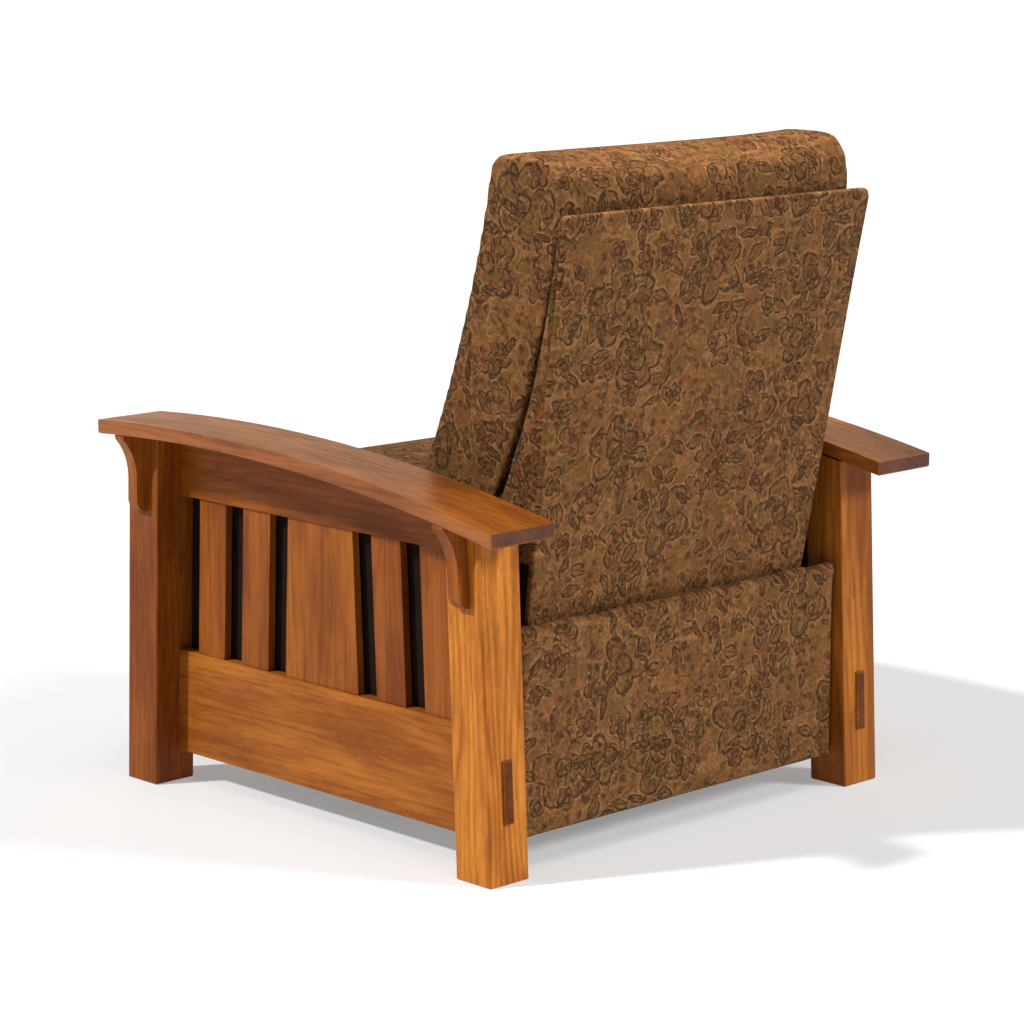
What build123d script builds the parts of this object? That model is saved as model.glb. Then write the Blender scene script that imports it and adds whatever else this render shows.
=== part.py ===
from build123d import *
import math
import os

os.makedirs("parts", exist_ok=True)

# Layout in millimetres: X across, Y from front to rear, Z up from the floor
gap = 0.3                      # hairline between pieces that seat on each other
overrun = 40.0                 # how far a cutting tool passes its work
foot_depth = 844.0             # over the outer faces of the feet, front to rear
arm_rear_reach = 55.0          # arm end beyond the rear foot
arm_front_setback = 9.0        # arm end behind the front foot
leg_outer = 424.5              # outer face of the legs
leg_width = 76.0
leg_depth = 72.5
leg_lean = 2.4                 # degrees that each foot reaches outward
leg_round = 3.0
front_y = -(foot_depth + arm_rear_reach) / 2
middle_y = front_y + foot_depth / 2
leg_middle_x = leg_outer - leg_width / 2
leg_inner = leg_outer - leg_width
lean_slope = math.tan(math.radians(leg_lean))

# Arms
arm_overhang = 50.5            # beyond the legs' outer faces
arm_inset = 2.5                # inner edge outside the legs' inner faces
arm_thickness = 22.0
arm_crown_z = 571.0            # highest point of the underside
arm_crown_forward = 190.0      # the crown lies this far ahead of the side's middle
arm_radius = 3400.0
arm_round = 4.0
arm_outer = leg_outer + arm_overhang
arm_width = arm_outer - leg_inner - arm_inset
arm_crown_y = middle_y - arm_crown_forward
arm_front_y = front_y + arm_front_setback
arm_rear_y = -front_y

# Side rails
rail_outer = 379.6
rail_thickness = 22.0
lower_rail_bottom = 50.0
lower_rail_top = 215.0
upper_rail_bottom = 464.0
rail_chamfer = 1.5
tenon_thickness = 12.0
tenon_length = 25.0
tenon_shoulder = 15.0
upper_tenon_height = 32.0
rail_middle_x = rail_outer - rail_thickness / 2
rail_inner = rail_outer - rail_thickness

# Slats, with their edges taken at the top of the lower rail
slat_thickness = 12.6
wide_slat_width = 168.0
narrow_slat_width = 64.0
slat_gap = 42.0
slat_inset = 12.0

# Corbels and end blocks
corbel_thickness = 22.0
corbel_reach = 46.0
corbel_stem = 20.0
corbel_height = 125.0
corbel_foot = 20.0
corbel_lip = 7.0
corbel_hollow = 66.0           # height of the concave stretch
end_block_width = 18.0
end_block_height = 93.0
end_block_bottom = 88.0
end_block_proud = 3.5
end_block_depth = 8.0
end_block_round = 1.2

# Black lining behind the slats
lining_thickness = 2.0
lining_lap = 25.0              # how far it laps the lower rail
lining_end_gap = 4.0

# Base box
base_outer = leg_inner
board = 19.0
base_bottom = 60.0
base_top = 330.0
base_front = 330.0             # front ends of the side boards, ahead of the middle
base_rear = 357.0              # rear ends of the side boards, behind the middle
stretcher_height = 28.0
stretcher_bottom = 50.0
stretcher_depth = 30.0
cleat_bottom = 90.0
cleat_height = 80.0
cleat_half_length = 310.0
corner_block = 50.0
corner_block_bottom = 80.0
corner_block_height = 180.0
base_inner = base_outer - board

# Lower rear panel
panel_side_gap = 6.5
panel_bottom = 49.0
panel_top = 354.0
panel_board = 9.0
panel_pad = 15.0
panel_round = 6.0
panel_half_width = leg_inner - panel_side_gap

# Bolts and screws
bolt_radius = 4.0
bolt_head_radius = 8.0
bolt_head_height = 3.0
bolt_spread = 220.0
fit = 0.05                     # radial clearance of every pin in its hole

# Recliner links: plates in parallel layers, counted outward from the seat frame
plate = 3.0
link = 4.0
layer_gap = 1.0
seat_plate_inner = 300.0
seat_plate_outer = seat_plate_inner + plate
layer_one = seat_plate_outer + layer_gap
layer_two = layer_one + link + layer_gap
layer_three = layer_two + link + 5 * layer_gap
base_plate_outer = base_inner - gap
base_plate_inner = base_plate_outer - plate
pin_radius = 4.0
head_radius = 7.0
head_height = 2.0

# Footrest linkage, drawn closed: drive link B to E, guide link A to C, coupler C, E, F
drive_y = -150.0               # B, from the side's middle
pivot_z = 362.0
drive_length = 260.0
drive_closed = 110.0           # degrees that B to E points below the forward direction
guide_spacing = 66.0
pad_pivot_y = -310.0           # F
pad_pivot_z = 240.0
pad_link_offset = 40.0         # D from E, and G from F
drive_width = 22.0
guide_width = 18.0
coupler_width = 22.0
pad_link_width = 16.0
tube_place = 105.0             # along the drive link
tube_radius = 6.5
tube_wall = 1.5

# Glide: four equal swing links that stand on the base plates
swing_length = 90.0
swing_lean = 20.0              # degrees rearward at rest
swing_width = 22.0
swing_z = 366.0
swing_front_y = -280.0
swing_rear_y = 140.0
spacer_radius = 7.5

# Recline pivot
recline_y = 270.0
recline_z = 405.0
recline_boss = 16.0
seat_plate_reach = 10.0        # how far the seat plate's rear end passes the seat frame

# Seat frame, springs and cushion
seat_frame_top = 378.0
seat_frame_height = 42.0
seat_frame_front = 330.0
seat_frame_rear = 230.0
seat_frame_board = 22.0
wire_radius = 1.6
wire_sides = 8
wire_loop = 26.0               # half the length of one full wave
wire_reach = 26.0              # from the wire's middle line to each side
bend_share = 0.3
spring_count = 4
spring_spacing = 130.0
deck_thickness = 2.0
seat_side_gap = 14.5           # between the seat cushion and the legs
seat_front = 398.0
seat_rear = 230.0
seat_front_top = 486.0
seat_rear_top = 450.0
seat_crown = 6.0
seat_round = 24.0
seat_edge_round = 3.0
seat_half_width = leg_inner - seat_side_gap

# Footrest panel
footrest_board = 18.0
footrest_board_half_width = 322.0
footrest_board_bottom = 98.0
footrest_board_top = 368.0
footrest_board_rear = 337.0
footrest_pad_thickness = 44.0
footrest_pad_bottom = 92.0
footrest_pad_top = 376.0
footrest_round = 16.0
flange_width = 28.0
flange_bottom = 196.0
flange_top = 316.0
screw_radius = 2.5
screw_head_radius = 5.0
screw_head_height = 2.0

# Reclining back
back_bottom = 345.0
back_top = 950.0
back_rear_bottom = 366.4       # rear face at back_bottom
back_lean = 10.0               # degrees
wing_thickness = 24.1          # of the padded wing at the top
back_flank = 1.5               # the panel's bottom corners lie this far inside the seat plates
back_panel = 9.0
back_panel_round = 5.0
wing_depth_top = 24.1          # from the seam curve to the rear face, at the top
seam_low_y = 262.0
seam_low_z = 440.0
seam_middle_shares = (0.647, 0.512)     # of the seam curve's run and rise
side_board = 22.0
side_board_drop = 20.0         # below the top of the back
side_heel_y = 312.0
side_heel_z = 424.0
side_toe_y = 330.0
wing_bottom = 446.0
back_rail_depth = 14.0
back_rail_height = 44.0
back_rail_shares = (0.013, 0.43, 0.876)  # of the back's height
strap_width = 50.0
strap_thickness = 2.0
strap_shares = (0.16, 0.34, 0.52, 0.70, 0.88)
bracket_top_y = 338.0
bracket_top_z = 520.0
bracket_heel_y = 332.0
bracket_heel_z = 452.0
bracket_round = 13.0
back_rise = back_top - back_bottom
back_slope = math.tan(math.radians(back_lean))
seam_top_y = back_rear_bottom + back_rise * back_slope - wing_depth_top
seam_middle_y = seam_low_y + seam_middle_shares[0] * (seam_top_y - seam_low_y)
seam_middle_z = seam_low_z + seam_middle_shares[1] * (back_top - seam_low_z)

# Back cushion
cushion_gap = 3.0              # between the cushion and the seam curve
cushion_side_reach = 11.3      # beyond the seat plates
cushion_rise = 78.0            # above the top of the back
cushion_depth_top = 146.0
cushion_bottom = 462.0
cushion_round = 30.0
cushion_belly_y = 130.0
cushion_belly_z = 512.0
cushion_waist_shares = (0.635, 0.529)   # of the front's run and rise
cushion_half_width = seat_plate_inner + cushion_side_reach
cushion_top = back_top + cushion_rise
cushion_top_rear_y = seam_top_y - cushion_gap
cushion_top_front_y = cushion_top_rear_y - cushion_depth_top
cushion_waist_y = cushion_belly_y + cushion_waist_shares[0] * (cushion_top_front_y - cushion_belly_y)
cushion_waist_z = cushion_belly_z + cushion_waist_shares[1] * (cushion_top - cushion_belly_z)


def rear_face(z):
    """Y of the outside back at height z."""
    return middle_y + back_rear_bottom + (z - back_bottom) * back_slope


def leg_face(z):
    """Distance from the side's middle to a leg's outer face at height z."""
    return foot_depth / 2 - z * lean_slope


def under_arm(y, drop=0.0, radius=arm_radius):
    """Z of the arc under the arm at y, lowered by drop."""
    centre_z = arm_crown_z - arm_radius
    return centre_z + math.sqrt(radius ** 2 - (y - arm_crown_y) ** 2) - drop


def side_view(x):
    """Plane that looks at the chair's side, at x."""
    return Plane.YZ.offset(x)


def write(builder, name):
    builder.part.label = name
    export_step(builder.part, f"parts/{name}.step")


def write_sides(builder, name):
    """The left piece and its mirror image, as two nodes."""
    write(builder, f"{name}_left")
    with BuildPart() as right:
        mirror(builder.part, about=Plane.YZ)
    write(right, f"{name}_right")


def write_pair(builder, name):
    """The left pieces and their mirror images, as one node."""
    with BuildPart() as both:
        add(builder.part)
        mirror(builder.part, about=Plane.YZ)
    write(both, name)


def bar(x, thickness, points, radii, holes):
    """Flat link around the points, with a round end of each radius and a hole at each of holes."""
    with BuildPart() as piece:
        with BuildSketch(side_view(x)) as outline:
            for (y, z), radius in zip(points, radii):
                with Locations((y, z)):
                    Circle(radius)
            make_hull()
        extrude(amount=thickness)
        with BuildSketch(side_view(x)) as bores:
            with Locations(*holes):
                Circle(pin_radius + fit)
        extrude(amount=thickness, mode=Mode.SUBTRACT)
    return piece


def rivets(x_start, x_end, points):
    """Pins across the plates from x_start to x_end, with a low head at each end."""
    with BuildPart() as pins:
        with BuildSketch(side_view(x_start - gap)) as shanks:
            with Locations(*points):
                Circle(pin_radius)
        extrude(amount=x_end - x_start + 2 * gap)
        for x in (x_start - gap - head_height, x_end + gap):
            with BuildSketch(side_view(x)) as caps:
                with Locations(*points):
                    Circle(head_radius)
            extrude(amount=head_height)
    return pins


def bushes(x_start, x_end, points):
    """Rings that keep two plates apart round their pins."""
    with BuildPart() as rings:
        with BuildSketch(side_view(x_start + gap)) as sections:
            with Locations(*points):
                Circle(spacer_radius)
                Circle(pin_radius + fit, mode=Mode.SUBTRACT)
        extrude(amount=x_end - x_start - 2 * gap)
    return rings


# Pivot places in side view, as (y, z) with the footrest closed and the back upright
def ahead(y, z):
    """Side-view point whose y is counted from the side's middle."""
    return (middle_y + y, z)


def step(point, length, degrees):
    """Point at a length from another, degrees counted from forward, upward positive."""
    turn = math.radians(degrees)
    return (point[0] - length * math.cos(turn), point[1] + length * math.sin(turn))


point_b = ahead(drive_y, pivot_z)
point_a = ahead(drive_y - guide_spacing, pivot_z)
point_e = step(point_b, drive_length, -drive_closed)
point_c = (point_e[0] - guide_spacing, point_e[1])
point_d = step(point_e, pad_link_offset, 180 - drive_closed)
point_f = ahead(pad_pivot_y, pad_pivot_z)
point_g = step(point_f, pad_link_offset, 180 - drive_closed)
tube_point = step(point_b, tube_place, -drive_closed)
swing_points = {}
for end, y in (("front", swing_front_y), ("rear", swing_rear_y)):
    upper = ahead(y, swing_z)
    swing_points[end] = (upper, step(upper, swing_length, swing_lean - 90))
recline_point = ahead(recline_y, recline_z)

# Arms: bowed boards
with BuildPart() as arm:
    with BuildSketch(side_view(arm_outer - arm_width)) as profile:
        outer_radius = arm_radius + arm_thickness
        with BuildLine() as edge:
            low_front = (arm_front_y, under_arm(arm_front_y))
            low_rear = (arm_rear_y, under_arm(arm_rear_y))
            high_rear = (arm_rear_y, under_arm(arm_rear_y, 0, outer_radius))
            high_front = (arm_front_y, under_arm(arm_front_y, 0, outer_radius))
            ThreePointArc(low_front, (arm_crown_y, arm_crown_z), low_rear)
            Line(low_rear, high_rear)
            ThreePointArc(high_rear, (arm_crown_y, arm_crown_z + arm_thickness), high_front)
            Line(high_front, low_front)
        make_face()
    extrude(amount=arm_width)
    fillet(arm.edges().filter_by(Axis.X, reverse=True).group_by(SortBy.LENGTH)[-1], arm_round)
    fillet(arm.edges().filter_by(GeomType.LINE).filter_by(Axis.Z), arm_round)
write_sides(arm, "arm")


# Cutter for everything above the arm's underside
with BuildPart() as above_arm:
    with BuildSketch(side_view(0)) as profile:
        with BuildLine() as edge:
            front = (arm_front_y - overrun, under_arm(arm_front_y - overrun, gap))
            rear = (arm_rear_y + overrun, under_arm(arm_rear_y + overrun, gap))
            high = arm_crown_z + leg_depth + overrun
            ThreePointArc(front, (arm_crown_y, arm_crown_z - gap), rear)
            Polyline(rear, (rear[0], high), (front[0], high), front)
        make_face()
    extrude(amount=arm_outer + overrun)


def rail_outline(bottom, top, reach):
    """Corners of a side rail whose ends follow the legs, each end longer by reach."""
    corners = []
    for side, z in ((-1, bottom), (1, bottom), (1, top), (-1, top)):
        corners.append((middle_y + side * (leg_face(z) - leg_depth + reach), z))
    return corners


# Legs, with mortises for the rails and a pocket for the end block
lower_tenon = (lower_rail_bottom + tenon_shoulder, lower_rail_top - tenon_shoulder)
upper_tenon = (upper_rail_bottom + tenon_shoulder, upper_rail_bottom + tenon_shoulder + upper_tenon_height)


def leg_plane(end, z, out=0.0):
    """Plane on a leg's outer end face at height z, square to the leaning leg."""
    lean = math.radians(leg_lean)
    origin = (leg_middle_x, middle_y + end * (leg_face(z) + out), z)
    return Plane(origin=origin, x_dir=(-end, 0, 0), z_dir=(0, end * math.cos(lean), math.sin(lean)))


def leg_piece(end):
    """One left leg: end is 1 at the rear and -1 at the front."""
    with BuildPart() as leg:
        top = arm_crown_z + leg_depth
        with BuildSketch(side_view(leg_inner)) as profile:
            with BuildLine() as edge:
                outer = [middle_y + end * leg_face(z) for z in (0, top)]
                inner = [middle_y + end * (leg_face(z) - leg_depth) for z in (0, top)]
                Polyline((outer[0], 0), (outer[1], top), (inner[1], top), (inner[0], 0), close=True)
            make_face()
        extrude(amount=leg_width)
        long_edges = leg.edges().group_by(SortBy.LENGTH)[-1]
        fillet(long_edges, leg_round)
        chamfer(leg.faces().sort_by(Axis.Z)[0].edges(), leg_round / 2)
        add(above_arm.part, mode=Mode.SUBTRACT)
        for low, high in (lower_tenon, upper_tenon):
            with BuildSketch(side_view(rail_middle_x - tenon_thickness / 2 - gap)) as mortise:
                with BuildLine() as edge:
                    Polyline(*rail_outline(low - gap, high + gap, tenon_length + gap), close=True)
                make_face()
            extrude(amount=tenon_thickness + 2 * gap, mode=Mode.SUBTRACT)
        block_middle = end_block_bottom + end_block_height / 2
        with BuildSketch(leg_plane(end, block_middle)) as pocket:
            Rectangle(end_block_width + 2 * gap, end_block_height + 2 * gap)
        extrude(amount=-end_block_depth - gap, mode=Mode.SUBTRACT)
    return leg


for end, name in ((1, "leg_rear"), (-1, "leg_front")):
    write_sides(leg_piece(end), name)

# End blocks, like through tenons, set into the legs
with BuildPart() as end_blocks:
    for end in (-1, 1):
        block_middle = end_block_bottom + end_block_height / 2
        with BuildSketch(leg_plane(end, block_middle, end_block_proud)) as outline:
            Rectangle(end_block_width, end_block_height)
        extrude(amount=-end_block_proud - end_block_depth)
    fronts = end_blocks.faces().sort_by(Axis.Y)
    chamfer(fronts[0].edges() + fronts[-1].edges(), end_block_round)
write_pair(end_blocks, "end_blocks")

# Corbels under the arms, each on the outer face of a leg
with BuildPart() as corbels:
    for end in (-1, 1):
        lean = math.radians(leg_lean)
        top = arm_crown_z + corbel_lip
        root_y = middle_y + end * (leg_face(top) - leg_depth / 2)
        level = under_arm(root_y) - top
        seat = Plane(
            origin=(leg_outer + gap, root_y, top),
            x_dir=(1, 0, 0),
            z_dir=(0, -math.cos(lean), -end * math.sin(lean)),
        )
        with BuildSketch(seat) as outline:
            with BuildLine() as edge:
                lip = (corbel_reach, level - corbel_lip)
                waist = (corbel_stem, level - corbel_lip - corbel_hollow)
                foot_start = (corbel_stem, level - corbel_height + corbel_foot)
                foot_end = (0, level - corbel_height)
                bulge = corbel_foot * math.sqrt(0.5)
                hollow_radius = ((corbel_reach - corbel_stem) ** 2 + corbel_hollow ** 2) / (
                    2 * (corbel_reach - corbel_stem)
                )
                hollow_middle = (
                    corbel_stem + hollow_radius - math.sqrt(hollow_radius ** 2 - (corbel_hollow / 2) ** 2),
                    level - corbel_lip - corbel_hollow / 2,
                )
                Polyline((0, 0), (corbel_reach, 0), lip)
                ThreePointArc(lip, hollow_middle, waist)
                Line(waist, foot_start)
                ThreePointArc(
                    foot_start,
                    (corbel_stem - corbel_foot + bulge, level - corbel_height + corbel_foot - bulge),
                    foot_end,
                )
                Line(foot_end, (0, 0))
            make_face()
        extrude(amount=corbel_thickness / 2, both=True)
    add(above_arm.part, mode=Mode.SUBTRACT)
write_sides(corbels, "corbels")

# Slats: edges lean like the nearer legs


def slat_edges():
    """Distances from the side's middle of each slat's edges, at the top of the lower rail."""
    wide = wide_slat_width / 2
    near = wide + slat_gap
    far = near + narrow_slat_width + slat_gap
    narrow = [(near, near + narrow_slat_width), (far, far + narrow_slat_width)]
    spans = [(-wide, wide)]
    for low, high in narrow:
        spans += [(low, high), (-high, -low)]
    return spans


def slat_corners(span, bottom, top, grow=0.0):
    """Corners of a slat between two heights, widened by grow on each edge."""
    corners = []
    for index, z in ((0, bottom), (1, bottom), (1, top), (0, top)):
        edge = span[index]
        side = 1 if edge > 0 else -1
        spread = grow if index else -grow
        corners.append((middle_y + edge - side * (z - lower_rail_top) * lean_slope + spread, z))
    return corners


slat_bottom = lower_rail_top - slat_inset + gap
slat_top = upper_rail_bottom + slat_inset - gap
slat_inner = rail_middle_x - slat_thickness / 2


def slats(spans):
    """Slats of the left side for the given spans."""
    with BuildPart() as group:
        with BuildSketch(side_view(slat_inner)) as outline:
            for span in spans:
                with BuildLine() as edge:
                    Polyline(*slat_corners(span, slat_bottom, slat_top), close=True)
                make_face()
        extrude(amount=slat_thickness)
    return group


write_sides(slats(slat_edges()[:1]), "wide_slat")
write_sides(slats(slat_edges()[1:]), "narrow_slats")


# Cutter for the slats' mortises
with BuildPart() as slat_mortises:
    with BuildSketch(side_view(slat_inner - gap)) as outline:
        for span in slat_edges():
            with BuildLine() as edge:
                Polyline(*slat_corners(span, slat_bottom - gap, slat_top + gap, gap), close=True)
            make_face()
    extrude(amount=slat_thickness + 2 * gap)


def rail_tenons(low, high):
    """The tenons of a side rail, as one bar from leg to leg."""
    with BuildPart() as piece:
        with BuildSketch(side_view(rail_middle_x - tenon_thickness / 2)) as outline:
            with BuildLine() as edge:
                Polyline(*rail_outline(low, high, tenon_length), close=True)
            make_face()
        extrude(amount=tenon_thickness)
    return piece.part


# Lower side rails
lower_tenon_bar = rail_tenons(*lower_tenon)
with BuildPart() as lower_rail:
    with BuildSketch(side_view(rail_inner)) as profile:
        with BuildLine() as edge:
            Polyline(*rail_outline(lower_rail_bottom, lower_rail_top, -gap), close=True)
        make_face()
    extrude(amount=rail_thickness)
    long_edges = lower_rail.edges().filter_by(Axis.Y)
    chamfer(long_edges, rail_chamfer)
    add(lower_tenon_bar)
    add(slat_mortises.part, mode=Mode.SUBTRACT)
write_sides(lower_rail, "lower_rail")

# Upper side rails, curved to the arm
upper_tenon_bar = rail_tenons(*upper_tenon)
with BuildPart() as upper_rail:
    with BuildSketch(side_view(rail_inner)) as profile:
        with BuildLine() as edge:
            Polyline(*rail_outline(upper_rail_bottom, arm_crown_z + leg_depth, -gap), close=True)
        make_face()
    extrude(amount=rail_thickness)
    add(above_arm.part, mode=Mode.SUBTRACT)
    low_edges = upper_rail.edges().filter_by(Axis.Y).group_by(Axis.Z)[0]
    chamfer(low_edges, rail_chamfer)
    add(upper_tenon_bar)
    add(slat_mortises.part, mode=Mode.SUBTRACT)
write_sides(upper_rail, "upper_rail")

# Black lining boards behind the slats
with BuildPart() as lining:
    with BuildSketch(side_view(rail_inner - gap - lining_thickness)) as profile:
        with BuildLine() as edge:
            lining_top = upper_rail_bottom + lining_lap
            lining_bottom = lower_rail_top - lining_lap
            Polyline(*rail_outline(lining_bottom, lining_top, -lining_end_gap), close=True)
        make_face()
    extrude(amount=lining_thickness)
write_pair(lining, "side_linings")

# Base box: side boards
with BuildPart() as base_side:
    with BuildSketch(side_view(base_inner)) as profile:
        with BuildLine() as edge:
            low_front = ahead(-base_front, base_bottom)
            high_rear = ahead(base_rear, base_top)
            Polyline(low_front, (high_rear[0], base_bottom), high_rear, (low_front[0], base_top), close=True)
        make_face()
    extrude(amount=board)
    with BuildSketch(side_view(base_inner)) as bores:
        for y in (-bolt_spread, bolt_spread):
            with Locations(ahead(y, cleat_bottom + cleat_height / 2)):
                Circle(bolt_radius + fit)
    extrude(amount=board, mode=Mode.SUBTRACT)
write_pair(base_side, "base_sides")

# Base box: cleats between the side boards and the lower side rails
cleat_thickness = rail_inner - base_outer - gap
with BuildPart() as cleat:
    with BuildSketch(side_view(base_outer)) as profile:
        with Locations(ahead(0, cleat_bottom + cleat_height / 2)):
            Rectangle(2 * cleat_half_length, cleat_height)
            for y in (-bolt_spread, bolt_spread):
                with Locations((y, 0)):
                    Circle(bolt_radius + fit, mode=Mode.SUBTRACT)
    extrude(amount=cleat_thickness)
write_pair(cleat, "base_cleats")

# Base box: rear rail
with BuildPart() as rear_rail:
    with BuildSketch(Plane.XZ.offset(-middle_y - base_rear)) as profile:
        with Locations((0, (base_bottom + base_top) / 2)):
            Rectangle(2 * base_outer, base_top - base_bottom)
    extrude(amount=-board)
write(rear_rail, "base_rear_rail")

# Base box: flat front stretcher
with BuildPart() as stretcher:
    with BuildSketch(Plane.XY.offset(stretcher_bottom)) as profile:
        with Locations((0, middle_y - base_front + stretcher_depth / 2)):
            Rectangle(2 * base_inner, stretcher_depth)
    extrude(amount=stretcher_height)
write(stretcher, "base_front_stretcher")

# Base box: corner blocks at the rear
with BuildPart() as corner_blocks:
    with BuildSketch(Plane.XY.offset(corner_block_bottom)) as profile:
        with BuildLine() as edge:
            corner = (base_inner, middle_y + base_rear)
            Polyline(corner, (corner[0] - corner_block, corner[1]), (corner[0], corner[1] - corner_block), close=True)
        make_face()
    extrude(amount=corner_block_height)
write_pair(corner_blocks, "base_corner_blocks")

# Bolts through the side boards and cleats into the lower side rails
with BuildPart() as bolts:
    for y in (-bolt_spread, bolt_spread):
        point = ahead(y, cleat_bottom + cleat_height / 2)
        with BuildSketch(side_view(base_inner)) as shank:
            with Locations(point):
                Circle(bolt_radius)
        extrude(amount=rail_inner - base_inner - gap)
        with BuildSketch(side_view(base_inner - bolt_head_height)) as head:
            with Locations(point):
                Circle(bolt_head_radius)
        extrude(amount=bolt_head_height)
write_pair(bolts, "base_bolts")

# Lower rear panel: board and padding
rear_board_y = middle_y + base_rear + board + gap
panel_middle_z = (panel_bottom + panel_top) / 2
with BuildPart() as rear_board:
    with BuildSketch(Plane.XZ.offset(-rear_board_y)) as profile:
        with Locations((0, panel_middle_z)):
            Rectangle(2 * (panel_half_width - panel_round), panel_top - panel_bottom - 2 * panel_round)
    extrude(amount=-panel_board)
write(rear_board, "rear_panel_board")
with BuildPart() as rear_pad:
    with BuildSketch(Plane.XZ.offset(-rear_board_y - panel_board - gap)) as profile:
        with Locations((0, panel_middle_z)):
            Rectangle(2 * panel_half_width, panel_top - panel_bottom)
    extrude(amount=-panel_pad)
    fillet(rear_pad.faces().sort_by(Axis.Y)[-1].edges(), panel_round)
write(rear_pad, "rear_panel_pad")

# Glide: base plates
swing_lows = [swing_points[end][1] for end in ("front", "rear")]
swing_tops = [swing_points[end][0] for end in ("front", "rear")]
swing_radii = (swing_width / 2, swing_width / 2)
write_pair(bar(base_plate_inner, plate, swing_lows, swing_radii, swing_lows), "base_plates")

# Glide: front and rear swing links
for end, ends in swing_points.items():
    write_pair(bar(layer_three, link, ends, swing_radii, ends), f"swing_links_{end}")

# Seat plates: carry the links, the swing links' tops and the recline pivot
seat_bar_height = seat_frame_height / 2 - gap
with BuildPart() as seat_plate:
    bar_front = ahead(-seat_frame_front + seat_bar_height, seat_frame_top - seat_bar_height)
    bar_rear = ahead(seat_frame_rear + seat_plate_reach, seat_frame_top - seat_bar_height)
    with BuildSketch(side_view(seat_plate_inner)) as profile:
        for point in (bar_front, bar_rear):
            with Locations(point):
                Circle(seat_bar_height)
        make_hull()
    extrude(amount=plate)
    with BuildSketch(side_view(seat_plate_inner)) as upstand:
        for point, radius in ((bar_rear, seat_bar_height), (recline_point, recline_boss)):
            with Locations(point):
                Circle(radius)
        make_hull()
    extrude(amount=plate)
    seat_holes = [point_a, point_b, swing_points["front"][0], swing_points["rear"][0], recline_point]
    with BuildSketch(side_view(seat_plate_inner)) as bores:
        with Locations(*seat_holes):
            Circle(pin_radius + fit)
    extrude(amount=plate, mode=Mode.SUBTRACT)
write_pair(seat_plate, "seat_plates")

# Footrest links
drive_radii = (drive_width / 2, drive_width / 2)
guide_radii = (guide_width / 2, guide_width / 2)
coupler_radii = (coupler_width / 2, coupler_width / 2, coupler_width / 2)
pad_link_radii = (pad_link_width / 2, pad_link_width / 2)
coupler_points = (point_e, point_c, point_f)
drive_holes = (point_b, point_d, point_e)
write_pair(bar(layer_one, link, (point_b, point_e), drive_radii, drive_holes), "drive_links")
write_pair(bar(layer_one, link, (point_a, point_c), guide_radii, (point_a, point_c)), "guide_links")
write_pair(bar(layer_two, link, coupler_points, coupler_radii, coupler_points), "coupler_links")
write_pair(bar(layer_two, link, (point_d, point_g), pad_link_radii, (point_d, point_g)), "pad_links")

# Cross tube that makes both drive links swing together
with BuildPart() as cross_tube:
    with BuildSketch(side_view(-layer_one + gap)) as section:
        with Locations(tube_point):
            Circle(tube_radius)
            Circle(tube_radius - tube_wall, mode=Mode.SUBTRACT)
    extrude(amount=2 * (layer_one - gap))
write(cross_tube, "cross_tube")

# Footrest brackets: a web beside the links and a flange against the board
board_rear_y = middle_y - footrest_board_rear
flange_y = board_rear_y + gap
toe_radius = link
toe_y = flange_y + plate + toe_radius
web_points = (
    point_f,
    point_g,
    (toe_y, flange_bottom + toe_radius),
    (toe_y, flange_top - toe_radius),
)
web_radii = (coupler_width / 2, pad_link_width / 2, toe_radius, toe_radius)
web = bar(layer_one, link, web_points, web_radii, (point_f, point_g))
screw_x = layer_one + link - flange_width + head_radius + plate
screw_heights = (flange_bottom + flange_width / 2, flange_top - flange_width / 2)
with BuildPart() as bracket:
    add(web.part)
    with BuildSketch(side_view(layer_one + link - flange_width)) as section:
        with Locations((flange_y + plate / 2, (flange_bottom + flange_top) / 2)):
            Rectangle(plate, flange_top - flange_bottom)
    extrude(amount=flange_width)
    with BuildSketch(Plane.XZ.offset(-flange_y)) as bores:
        with Locations(*[(screw_x, z) for z in screw_heights]):
            Circle(screw_radius + fit)
    extrude(amount=-plate, mode=Mode.SUBTRACT)
write_pair(bracket, "footrest_brackets")

with BuildPart() as bracket_screws:
    with BuildSketch(Plane.XZ.offset(-flange_y)) as shanks:
        with Locations(*[(screw_x, z) for z in screw_heights]):
            Circle(screw_radius)
    extrude(amount=-plate)
    with BuildSketch(Plane.XZ.offset(-flange_y - plate)) as heads:
        with Locations(*[(screw_x, z) for z in screw_heights]):
            Circle(screw_head_radius)
    extrude(amount=-screw_head_height)
write_pair(bracket_screws, "bracket_screws")

# Footrest panel: board and padding
footrest_middle_z = (footrest_board_bottom + footrest_board_top) / 2
with BuildPart() as foot_board:
    with BuildSketch(Plane.XZ.offset(-board_rear_y)) as profile:
        with Locations((0, footrest_middle_z)):
            Rectangle(2 * footrest_board_half_width, footrest_board_top - footrest_board_bottom)
    extrude(amount=footrest_board)
write(foot_board, "footrest_board")

pad_rear_y = board_rear_y - footrest_board - gap
with BuildPart() as foot_pad:
    with BuildSketch(Plane.XZ.offset(-pad_rear_y)) as profile:
        with Locations((0, (footrest_pad_bottom + footrest_pad_top) / 2)):
            Rectangle(2 * panel_half_width, footrest_pad_top - footrest_pad_bottom)
    extrude(amount=footrest_pad_thickness)
    fillet(foot_pad.faces().sort_by(Axis.Y)[0].edges(), footrest_round)
write(foot_pad, "footrest_pad")

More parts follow.
